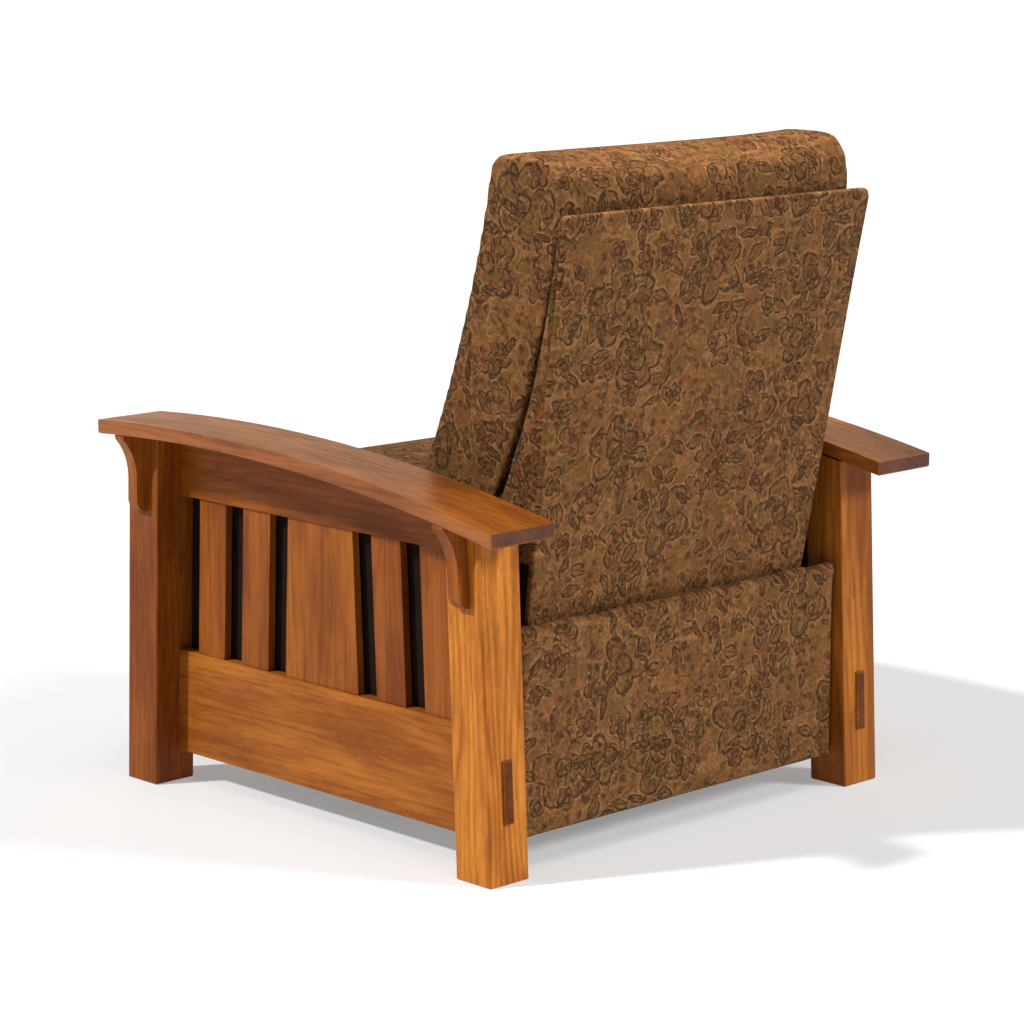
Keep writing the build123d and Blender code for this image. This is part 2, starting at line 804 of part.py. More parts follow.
# Rivets and bushes, each group with the body that carries it
write_pair(rivets(layer_one, layer_two + link, (point_e, point_d)), "drive_rivets")
write_pair(rivets(layer_one, layer_two + link, (point_c, point_f)), "coupler_rivets")
write_pair(rivets(layer_one, layer_two + link, (point_g,)), "pad_link_rivets")
write_pair(bushes(layer_three + link, base_plate_inner, swing_lows), "base_bushes")
write_pair(bushes(seat_plate_outer, layer_three, swing_tops), "seat_bushes")

with BuildPart() as base_rivets:
    with BuildSketch(side_view(layer_three - gap)) as shanks:
        with Locations(*swing_lows):
            Circle(pin_radius)
    extrude(amount=base_plate_outer - layer_three + gap)
    with BuildSketch(side_view(layer_three - gap - head_height)) as heads:
        with Locations(*swing_lows):
            Circle(head_radius)
    extrude(amount=head_height)
write_pair(base_rivets, "base_rivets")

with BuildPart() as seat_rivets:
    for x_end, points in ((layer_one + link, (point_a, point_b)), (layer_three + link, swing_tops)):
        with BuildSketch(side_view(seat_plate_inner)) as shanks:
            with Locations(*points):
                Circle(pin_radius)
        extrude(amount=x_end - seat_plate_inner + gap)
        with BuildSketch(side_view(x_end + gap)) as heads:
            with Locations(*points):
                Circle(head_radius)
        extrude(amount=head_height)
write_pair(seat_rivets, "seat_rivets")

# Seat frame
frame_outer = seat_plate_inner - gap
frame_bottom = seat_frame_top - seat_frame_height
with BuildPart() as seat_side:
    with BuildSketch(side_view(frame_outer - seat_frame_board)) as profile:
        with Locations(ahead((seat_frame_rear - seat_frame_front) / 2, seat_frame_top - seat_frame_height / 2)):
            Rectangle(seat_frame_front + seat_frame_rear, seat_frame_height)
    extrude(amount=seat_frame_board)
write_pair(seat_side, "seat_side_rails")

with BuildPart() as seat_cross:
    for y in (-seat_frame_front, seat_frame_rear - seat_frame_board):
        with BuildSketch(Plane.XY.offset(frame_bottom)) as profile:
            with Locations((0, middle_y + y + seat_frame_board / 2)):
                Rectangle(2 * (frame_outer - seat_frame_board), seat_frame_board)
        extrude(amount=seat_frame_height)
write(seat_cross, "seat_cross_rails")

# Seat springs: zigzag wires from the front rail to the rear rail
spring_z = seat_frame_top + gap + wire_radius
spring_start = middle_y - seat_frame_front + seat_frame_board / 2
spring_end = middle_y + seat_frame_rear - seat_frame_board / 2
spring_bends = 2 * int((spring_end - spring_start) / (4 * wire_loop)) + 1
spring_pitch = (spring_end - spring_start) / (spring_bends + 1)
with BuildPart() as springs:
    for index in range(spring_count):
        x = (index - (spring_count - 1) / 2) * spring_spacing
        with BuildLine(Plane.XY.offset(spring_z)) as path:
            corners = [(x, spring_start)]
            for bend in range(spring_bends):
                side = 1 if bend % 2 else -1
                y_low = spring_start + (bend + 0.5) * spring_pitch
                corners.append((x + side * wire_reach, y_low))
                corners.append((x + side * wire_reach, y_low + spring_pitch))
            corners.append((x, spring_end))
            FilletPolyline(*corners, radius=spring_pitch * bend_share)
        with BuildSketch(Plane(origin=path.line @ 0, z_dir=path.line % 0)) as wire:
            RegularPolygon(wire_radius, wire_sides)
        sweep(path=path.line)
write(springs, "seat_springs")

# Seat deck cloth
deck_bottom = spring_z + wire_radius + gap
with BuildPart() as deck:
    with BuildSketch(Plane.XY.offset(deck_bottom)) as profile:
        with Locations((0, middle_y + (seat_frame_rear - seat_frame_front) / 2)):
            Rectangle(2 * frame_outer, seat_frame_front + seat_frame_rear)
    extrude(amount=deck_thickness)
write(deck, "seat_deck")

# Seat cushion
cushion_floor = deck_bottom + deck_thickness + gap
with BuildPart() as seat_cushion:
    with BuildSketch(side_view(-seat_half_width)) as profile:
        with BuildLine() as edge:
            low_front = ahead(-seat_front, cushion_floor)
            low_rear = ahead(seat_rear, cushion_floor)
            high_rear = ahead(seat_rear, seat_rear_top)
            high_front = ahead(-seat_front, seat_front_top - seat_crown)
            crown_middle = (
                (high_rear[0] + high_front[0]) / 2,
                (high_rear[1] + high_front[1]) / 2 + seat_crown,
            )
            Polyline(high_front, low_front, low_rear, high_rear)
            ThreePointArc(high_rear, crown_middle, high_front)
        make_face()
        fillet(profile.vertices().group_by(Axis.Z)[-1], seat_round)
    extrude(amount=2 * seat_half_width)
    fillet(seat_cushion.faces().sort_by(Axis.X)[0].edges().filter_by(Axis.Z, reverse=True).group_by(Axis.Z)[-1], seat_edge_round)
write(seat_cushion, "seat_cushion")


def seam_points(forward=0.0):
    """Start, middle and end of the curve between the back's sides and its cushion."""
    high = (middle_y + seam_top_y - forward, back_top)
    middle = (middle_y + seam_middle_y - forward, seam_middle_z)
    low = (middle_y + seam_low_y - forward, seam_low_z)
    return high, middle, low


back_half_bottom = seat_plate_inner - back_flank
back_half_top = seat_plate_inner + wing_thickness


def half_width(z):
    """Half the width of the outside back at height z."""
    return back_half_bottom + (z - back_bottom) / back_rise * (back_half_top - back_half_bottom)


# Outside back panel, wider at the top
lean = math.radians(back_lean)
panel_plane = Plane(
    origin=(0, rear_face(back_bottom), back_bottom),
    x_dir=(-1, 0, 0),
    z_dir=(0, math.cos(lean), -math.sin(lean)),
)
panel_height = back_rise / math.cos(lean)
with BuildPart() as outside_back:
    with BuildSketch(panel_plane) as profile:
        with BuildLine() as edge:
            Polyline(
                (-back_half_bottom, 0),
                (back_half_bottom, 0),
                (back_half_top, panel_height),
                (-back_half_top, panel_height),
                close=True,
            )
        make_face()
    extrude(amount=-back_panel)
    broad_faces = outside_back.faces().sort_by(SortBy.AREA)[-2:]
    fillet(broad_faces.sort_by(Axis.Y)[-1].edges(), back_panel_round)
write(outside_back, "outside_back")


panel_front = back_panel / math.cos(lean) + gap


def back_side_sketch(foot, bottom, top):
    """Wedge between the panel and the seam curve, kept between two heights."""
    high, middle, low = seam_points()
    with BuildSketch() as wedge:
        with BuildLine() as edge:
            ThreePointArc(low, middle, high)
            Polyline(high, (rear_face(back_top) - panel_front, back_top), *foot, low)
        make_face()
        with Locations((middle_y + seam_low_y, (bottom + top) / 2)):
            Rectangle(10 * seam_top_y, top - bottom, mode=Mode.INTERSECT)
    return wedge.sketch


# Back side boards, with a recess for the bracket
side_outer = seat_plate_inner - gap
bracket_inner = side_outer - link - gap
bracket_points = (recline_point, ahead(bracket_heel_y, bracket_heel_z), ahead(bracket_top_y, bracket_top_z))
side_foot = (
    (rear_face(back_bottom) - panel_front, back_bottom + gap),
    (middle_y + side_toe_y, back_bottom + gap),
    (middle_y + side_heel_y, side_heel_z),
)
side_wedge = back_side_sketch(side_foot, back_bottom, back_top - side_board_drop)
with BuildPart() as back_side:
    with BuildSketch(side_view(side_outer - side_board)) as profile:
        add(side_wedge)
    extrude(amount=side_board)
    with BuildSketch(side_view(bracket_inner - gap)) as recess:
        for point, radius in zip(bracket_points, (recline_boss, bracket_round, bracket_round)):
            with Locations(point):
                Circle(radius + gap)
        make_hull()
    extrude(amount=side_board, mode=Mode.SUBTRACT)
write_pair(back_side, "back_sides")

# Back brackets
bracket_radii = (recline_boss, bracket_round, bracket_round)
write_pair(bar(bracket_inner, link, bracket_points, bracket_radii, (recline_point,)), "back_brackets")

# Recline pins
write_pair(rivets(bracket_inner, seat_plate_outer, (recline_point,)), "recline_pins")

# Padded wings, whose outer faces follow the outside back's edges
wing_foot = ((rear_face(wing_bottom) - panel_front, wing_bottom),)
wing_wedge = back_side_sketch(wing_foot, wing_bottom, back_top)
with BuildPart() as wing:
    with BuildSketch(side_view(side_outer + gap)) as profile:
        add(wing_wedge)
    extrude(amount=2 * overrun)
    with BuildSketch(Plane.XZ.offset(-arm_rear_y - overrun)) as beyond:
        with BuildLine() as edge:
            low_z = wing_bottom - overrun
            high_z = back_top + overrun
            Polyline(
                (half_width(low_z), low_z),
                (half_width(low_z) + 4 * overrun, low_z),
                (half_width(high_z) + 4 * overrun, high_z),
                (half_width(high_z), high_z),
                close=True,
            )
        make_face()
    extrude(amount=arm_rear_y - front_y + overrun, mode=Mode.SUBTRACT)
write_sides(wing, "back_wing")

# Back rails between the side boards
with BuildPart() as back_rails:
    for share in back_rail_shares:
        low = back_bottom + share * back_rise
        with BuildSketch(side_view(-(side_outer - side_board) + gap)) as section:
            with BuildLine() as edge:
                corners = []
                for z in (low, low + back_rail_height):
                    corners.append((rear_face(z) - panel_front, z))
                for z in (low + back_rail_height, low):
                    corners.append((rear_face(z) - panel_front - back_rail_depth, z))
                Polyline(*corners, close=True)
            make_face()
        extrude(amount=2 * (side_outer - side_board - gap))
write(back_rails, "back_rails")

# Webbing straps across the front edges of the side boards
with BuildPart() as straps:
    with BuildLine(Plane.YZ) as seam:
        high, middle, low = seam_points(gap)
        ThreePointArc(low, middle, high)
    curve = seam.edges()[0]
    for share in strap_shares:
        centre = curve.position_at(share)
        along = curve.tangent_at(share)
        strap_plane = Plane(origin=centre, x_dir=(1, 0, 0), z_dir=(0, -along.Z, along.Y))
        with BuildSketch(strap_plane) as outline:
            Rectangle(2 * side_outer, strap_width)
        extrude(amount=strap_thickness)
write(straps, "back_straps")

# Back cushion
with BuildPart() as back_cushion:
    with BuildSketch(side_view(-cushion_half_width)) as profile:
        with BuildLine() as edge:
            high, middle, low = seam_points(cushion_gap)
            belly = ahead(cushion_belly_y, cushion_belly_z)
            below_belly = ahead(cushion_belly_y, seam_low_z)
            waist = ahead(cushion_waist_y, cushion_waist_z)
            top_front = ahead(cushion_top_front_y, cushion_top)
            top_rear = ahead(cushion_top_rear_y, cushion_top)
            ThreePointArc(low, middle, high)
            Polyline(high, top_rear, top_front)
            ThreePointArc(top_front, waist, belly)
            Polyline(belly, below_belly, low)
        make_face()
        with Locations((belly[0], (cushion_bottom + cushion_top) / 2)):
            Rectangle(4 * cushion_belly_z, cushion_top - cushion_bottom, mode=Mode.INTERSECT)
    extrude(amount=2 * cushion_half_width)
    fillet(back_cushion.faces().sort_by(Axis.Z)[-1].edges().filter_by(Axis.X), cushion_round)
write(back_cushion, "back_cushion")
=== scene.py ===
import logging
import math
from dataclasses import dataclass, field
from enum import Enum
from typing import Callable, Dict, List, Optional, Protocol, Sequence, Tuple

import bmesh
import bpy
from mathutils import Matrix, Vector, noise
from mathutils.kdtree import KDTree


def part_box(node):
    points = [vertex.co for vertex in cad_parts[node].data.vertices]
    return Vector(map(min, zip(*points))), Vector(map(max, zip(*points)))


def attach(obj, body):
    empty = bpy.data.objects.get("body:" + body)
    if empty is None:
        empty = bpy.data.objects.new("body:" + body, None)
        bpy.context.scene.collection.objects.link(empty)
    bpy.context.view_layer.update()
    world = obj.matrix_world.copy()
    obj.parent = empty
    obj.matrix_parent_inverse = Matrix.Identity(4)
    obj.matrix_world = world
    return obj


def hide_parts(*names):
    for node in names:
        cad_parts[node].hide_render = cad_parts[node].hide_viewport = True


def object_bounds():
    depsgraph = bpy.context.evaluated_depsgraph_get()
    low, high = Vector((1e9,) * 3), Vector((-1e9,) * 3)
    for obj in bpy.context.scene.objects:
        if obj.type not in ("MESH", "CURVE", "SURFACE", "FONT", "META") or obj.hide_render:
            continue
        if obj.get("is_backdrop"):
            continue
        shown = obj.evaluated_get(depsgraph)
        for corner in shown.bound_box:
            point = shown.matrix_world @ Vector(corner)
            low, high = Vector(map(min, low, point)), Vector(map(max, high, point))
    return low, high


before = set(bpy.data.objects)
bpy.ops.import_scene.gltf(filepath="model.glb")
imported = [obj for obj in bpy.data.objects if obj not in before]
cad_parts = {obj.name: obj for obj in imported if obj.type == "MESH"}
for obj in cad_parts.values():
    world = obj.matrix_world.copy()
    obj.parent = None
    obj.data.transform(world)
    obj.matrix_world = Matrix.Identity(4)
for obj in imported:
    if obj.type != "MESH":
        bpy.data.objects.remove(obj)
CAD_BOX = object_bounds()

LOG = logging.getLogger("mission_armchair")
Grid = Tuple[int, float]
Pair = Tuple[float, float]
Triple = Tuple[float, float, float]
Skin = Callable[[float, float, float], Vector]
Socket = bpy.types.NodeSocket
# Points of a CAD mesh that are nearer than this are one point, in metres.
WELD = 1e-5
# Points at the border of a padded panel that are nearer than this are one point, in metres.
SEAM = 2e-5
# Points of a flat face lie this near its plane, in metres.
SAME_PLANE = 1e-4
# A line that rises less than this is level, in metres.
LEVEL = 1e-9


class Axis(Enum):
    """Direction that a board's grain runs in, in the chair's frame."""

    ACROSS = 0
    FRONT_TO_REAR = 1
    UPRIGHT = 2


class Graph:
    """Short way of writing a material's nodes."""

    def __init__(self, name: str) -> None:
        """Starts an empty material.

        Args:
            name: the material's name.
        """
        self.material = bpy.data.materials.new(name)
        self.material.use_nodes = True
        self.tree = self.material.node_tree
        self.tree.nodes.clear()
        self.shader = self.tree.nodes.new("ShaderNodeBsdfPrincipled")
        output = self.tree.nodes.new("ShaderNodeOutputMaterial")
        self.tree.links.new(self.shader.outputs["BSDF"], output.inputs["Surface"])

    def put(self, socket: Socket, value: object) -> None:
        """Sets or links one socket.

        Args:
            socket: the input to fill.
            value: an output socket to link, or a constant.
        """
        if isinstance(value, bpy.types.NodeSocket):
            self.tree.links.new(value, socket)
        elif isinstance(value, tuple) and len(value) == 3 and socket.type == "RGBA":
            socket.default_value = (*value, 1.0)
        else:
            socket.default_value = value

    def node(self, kind: str, settings: Optional[Dict[str, object]] = None,
             **inputs: object) -> bpy.types.Node:
        """Adds a node.

        Args:
            kind: node type without its ShaderNode prefix.
            settings: properties of the node.
            inputs: sockets by name, with spaces written as underscores.

        Returns:
            The node.
        """
        made = self.tree.nodes.new("ShaderNode" + kind)
        for key, value in (settings or {}).items():
            setattr(made, key, value)
        for key, value in inputs.items():
            self.put(made.inputs[key.replace("_", " ")], value)
        return made

    def surface(self, **inputs: object) -> bpy.types.Material:
        """Sets sockets of the shader itself.

        Args:
            inputs: sockets by name, with spaces written as underscores.

        Returns:
            The material.
        """
        for key, value in inputs.items():
            self.put(self.shader.inputs[key.replace("_", " ")], value)
        return self.material

    def math(self, operation: str, *values: object) -> Socket:
        """Adds a math node.

        Args:
            operation: Blender's name of the operation.
            values: its operands.

        Returns:
            The result.
        """
        made = self.node("Math", {"operation": operation})
        for socket, value in zip(made.inputs, values):
            self.put(socket, value)
        return made.outputs[0]

    def times(self, first: object, second: object) -> Socket:
        """Product of two values."""
        return self.math("MULTIPLY", first, second)

    def plus(self, first: object, second: object) -> Socket:
        """Sum of two values."""
        return self.math("ADD", first, second)

    def less(self, first: object, second: object) -> Socket:
        """First value less the second."""
        return self.math("SUBTRACT", first, second)

    def most(self, first: object, *others: object) -> Socket:
        """Highest of some values.

        Args:
            first: the first value.
            others: the other values.

        Returns:
            The highest.
        """
        for other in others:
            first = self.math("MAXIMUM", first, other)
        return first

    def vector(self, operation: str, *values: object) -> bpy.types.Node:
        """Adds a vector math node.

        Args:
            operation: Blender's name of the operation.
            values: its operands.

        Returns:
            The node.
        """
        made = self.node("VectorMath", {"operation": operation})
        for socket, value in zip(made.inputs, values):
            self.put(socket, value)
        return made

    def object_place(self) -> Socket:
        """Place on the object, in metres."""
        return self.node("TexCoord").outputs["Object"]

    def facing(self, axis: Axis) -> Socket:
        """How far a face looks along an axis of the object, from -1 to 1."""
        normal = self.node("TexCoord").outputs["Normal"]
        return self.node("SeparateXYZ", None, Vector=normal).outputs[axis.value]

    def place(self, source: object, scale: Triple = (1.0, 1.0, 1.0),
              offset: Triple = (0.0, 0.0, 0.0)) -> Socket:
        """Stretches and moves the place where a texture is read.

        Args:
            source: the place.
            scale: its stretch along each axis.
            offset: its move.

        Returns:
            The new place.
        """
        return self.node("Mapping", None, Vector=source, Location=offset, Scale=scale).outputs[0]

    def blend(self, share: object, first: object, second: object, mode: str = "MIX") -> Socket:
        """Mixes two colours.

        Args:
            share: how much of the second colour shows.
            first: colour at 0.
            second: colour at 1.
            mode: Blender's blend mode.

        Returns:
            The mixed colour.
        """
        made = self.node("Mix", {"data_type": "RGBA", "blend_type": mode})
        # A Mix node's share, first colour and second colour are its inputs 0, 6 and 7.
        for index, value in ((0, share), (6, first), (7, second)):
            self.put(made.inputs[index], value)
        return made.outputs[2]

    def band(self, value: object, low: float, high: float, start: float = 0.0,
             end: float = 1.0) -> Socket:
        """Smooth step of a value.

        Args:
            value: the input.
            low: input where the step starts.
            high: input where it ends.
            start: result at low.
            end: result at high.

        Returns:
            The stepped value.
        """
        made = self.node("MapRange", {"interpolation_type": "SMOOTHSTEP"})
        for socket, item in zip(made.inputs, (value, low, high, start, end)):
            self.put(socket, item)
        return made.outputs[0]

    def noise(self, source: object, scale: object, detail: float, roughness: float, flat: bool = False,
              offset: Optional[Triple] = None) -> Socket:
        """Adds a noise texture.

        Args:
            source: where it is read.
            scale: its scale, or one for each axis.
            detail: its octaves.
            roughness: weight of the finer octaves.
            flat: whether it is two-dimensional.
            offset: moves it.

        Returns:
            Its value.
        """
        if isinstance(scale, tuple):
            source, scale = self.place(source, scale), 1.0
        if offset:
            source = self.place(source, offset=offset)
        made = self.node("TexNoise", {"noise_dimensions": "2D" if flat else "3D"}, Vector=source,
                         Scale=scale, Detail=detail, Roughness=roughness)
        return made.outputs[0]

    def wave(self, source: object, direction: str, scale: float, distortion: float) -> Socket:
        """Adds evenly spaced bands.

        Args:
            source: where they are read.
            direction: the axis that they follow each other along.
            scale: their scale.
            distortion: how uneven they are.

        Returns:
            Their value.
        """
        made = self.node("TexWave", {"bands_direction": direction}, Vector=source, Scale=scale,
                         Distortion=distortion, Detail=1.0)
        return made.outputs["Fac"]

    def bump(self, height: object, strength: float, distance: float, below: object = None) -> Socket:
        """Adds a bump node.

        Args:
            height: the height.
            strength: its strength.
            distance: height in metres.
            below: another bump's result to build on.

        Returns:
            The bumped normal.
        """
        made = self.node("Bump", None, Height=height, Strength=strength, Distance=distance)
        if below is not None:
            self.put(made.inputs["Normal"], below)
        return made.outputs[0]


class Finish(Protocol):
    """What a piece can wear."""

    def material(self) -> bpy.types.Material:
        """Builds the material."""


@dataclass(frozen=True)
class Oak:
    """Satin golden-brown varnished wood.

    Attributes:
        grain: direction of the grain.
        tone: 0 is the redder, darker board and 1 the more golden one.
        shift: moves the grain so that boards differ.
        gloss: strength of the varnish's reflection.
        figure: strength of the dark growth rings.
        golden: colour at tone 1.
        russet: colour at tone 0.
        dark: what the rings and streaks do to each channel.
        deep: what the darker clouds do to each channel.
        pale: what the lighter clouds and the rays do to each channel.
        end_stain: what end grain, which drinks the stain, does to each channel.
        pore_colour: colour in the pores.
        ring_pitch: growth rings, in radians for each metre.
        ring_wander: how far the rings stray, in radians.
        slant: slant of the rings to the board.
        wander_scale: waves of the rings' straying, along and across the grain.
        streak_scale: waves of the fine streaks.
        pore_scale: waves of the pores.
        ray_scale: waves of the ray flecks.
        cloud_scale: waves of the clouds.
    """

    grain: Axis
    tone: float = 0.5
    shift: float = 0.0
    gloss: float = 0.11
    figure: float = 1.0
    golden: Triple = (0.500, 0.165, 0.016)
    russet: Triple = (0.240, 0.062, 0.006)
    dark: Triple = (0.50, 0.40, 0.34)
    deep: Triple = (0.66, 0.57, 0.48)
    pale: Triple = (1.30, 1.40, 1.62)
    end_stain: Triple = (0.36, 0.30, 0.26)
    pore_colour: Triple = (0.085, 0.022, 0.006)
    ring_pitch: float = 420.0
    ring_wander: float = 88.0
    slant: float = 0.62
    wander_scale: Triple = (1.1, 7.5, 7.5)
    streak_scale: Triple = (4.0, 150.0, 150.0)
    pore_scale: Triple = (38.0, 1000.0, 1000.0)
    ray_scale: Triple = (30.0, 230.0, 230.0)
    cloud_scale: Triple = (3.4, 15.0, 15.0)

    def shade(self, change: Triple) -> Triple:
        """The board's colour with each channel changed."""
        return tuple((low + (high - low) * self.tone) * share
                     for low, high, share in zip(self.russet, self.golden, change))

    def material(self) -> bpy.types.Material:
        """Builds the material."""
        g = Graph(f"oak_{self.grain.name.lower()}_{int(self.shift * 10)}")
        turn = {Axis.ACROSS: (0, 0, 0), Axis.FRONT_TO_REAR: (0, 0, math.radians(-90)),
                Axis.UPRIGHT: (0, math.radians(90), 0)}
        turned = g.node("Mapping", None, Vector=g.object_place(), Rotation=turn[self.grain]).outputs[0]
        along = g.place(turned, offset=(self.shift, self.shift * 1.7, self.shift * 0.6))
        cross = g.node("SeparateXYZ", None, Vector=along)
        depth = g.plus(g.times(cross.outputs[1], self.slant), cross.outputs[2])
        wander = g.noise(along, self.wander_scale, 2.0, 0.5)
        phase = g.plus(g.times(depth, self.ring_pitch), g.times(wander, self.ring_wander))
        rings = g.math("POWER", g.plus(g.times(g.math("SINE", phase), 0.5), 0.5), 2.2)
        streak = g.noise(along, self.streak_scale, 5.0, 0.62)
        pore = g.band(g.noise(along, self.pore_scale, 2.0, 0.5), 0.58, 0.70)
        ray = g.noise(along, self.ray_scale, 1.0, 0.5)
        cloud = g.noise(along, self.cloud_scale, 4.0, 0.62)

        dark, deep, pale = self.shade(self.dark), self.shade(self.deep), self.shade(self.pale)
        colour = g.blend(g.band(cloud, 0.30, 0.70), deep, pale)
        strength = g.times(g.band(cloud, 0.35, 0.65, 0.50, 0.22), self.figure)
        colour = g.blend(g.times(rings, strength), colour, dark)
        colour = g.blend(g.band(streak, 0.44, 0.74, 0.0, 0.62), colour, dark)
        colour = g.blend(g.band(ray, 0.62, 0.74, 0.0, 0.30), colour, pale)
        colour = g.blend(g.times(pore, 0.45), colour, self.pore_colour)
        end = g.band(g.math("ABSOLUTE", g.facing(self.grain)), 0.80, 0.95)
        colour = g.blend(end, colour, self.end_stain, "MULTIPLY")
        fine = g.bump(g.less(1.0, pore), 0.35, 0.0003)
        return g.surface(Base_Color=colour, Roughness=g.band(streak, 0.3, 0.8, 0.36, 0.52),
                         Specular_IOR_Level=self.gloss, Coat_Weight=self.gloss / 3, Coat_Roughness=0.25,
                         Normal=g.bump(streak, 0.25, 0.0004, fine))


@dataclass(frozen=True)
class FrameWood:
    """Plain sawn wood of the hidden frames.

    Attributes:
        grain: direction of the grain.
        stained_and_shaded: whether it is stained dark, which also paints the shade where it can be seen past
            the cushions.
        coarse: waves of the streaks across the grain, for each metre.
        slow: waves along the grain.
        saw_marks: waves of the saw's marks.
    """

    grain: Axis = Axis.ACROSS
    stained_and_shaded: bool = False
    coarse: float = 60.0
    slow: float = 2.5
    saw_marks: float = 420.0

    def material(self) -> bpy.types.Material:
        """Builds the material."""
        g = Graph(("stained_and_shaded" if self.stained_and_shaded else "sawn") + f"_wood_{self.grain.name.lower()}")
        place = g.object_place()
        scale = tuple(self.slow if axis is self.grain else self.coarse for axis in Axis)
        streak = g.noise(place, scale, 5.0, 0.6)
        saw = g.noise(place, (self.saw_marks,) * 3, 2.0, 0.5)
        dark, pale = (0.42, 0.27, 0.13), (0.60, 0.43, 0.25)
        # Dark stain, which also stands in for the shade in the gaps where these boards show.
        if self.stained_and_shaded:
            dark, pale = (0.060, 0.022, 0.006), (0.115, 0.044, 0.012)
        return g.surface(Base_Color=g.blend(g.band(streak, 0.3, 0.7), dark, pale),
                         Roughness=g.band(streak, 0.3, 0.7, 0.62, 0.78), Normal=g.bump(saw, 0.3, 0.0004))


@dataclass(frozen=True)
class Motif:
    """How a motif is scattered over the cloth.

    Attributes:
        scale: cells per metre.
        share: share of the cells that hold one.
        pen: half the outline's width, in metres.
        shift: moves the motifs.
    """

    scale: float
    share: float
    pen: float
    shift: float


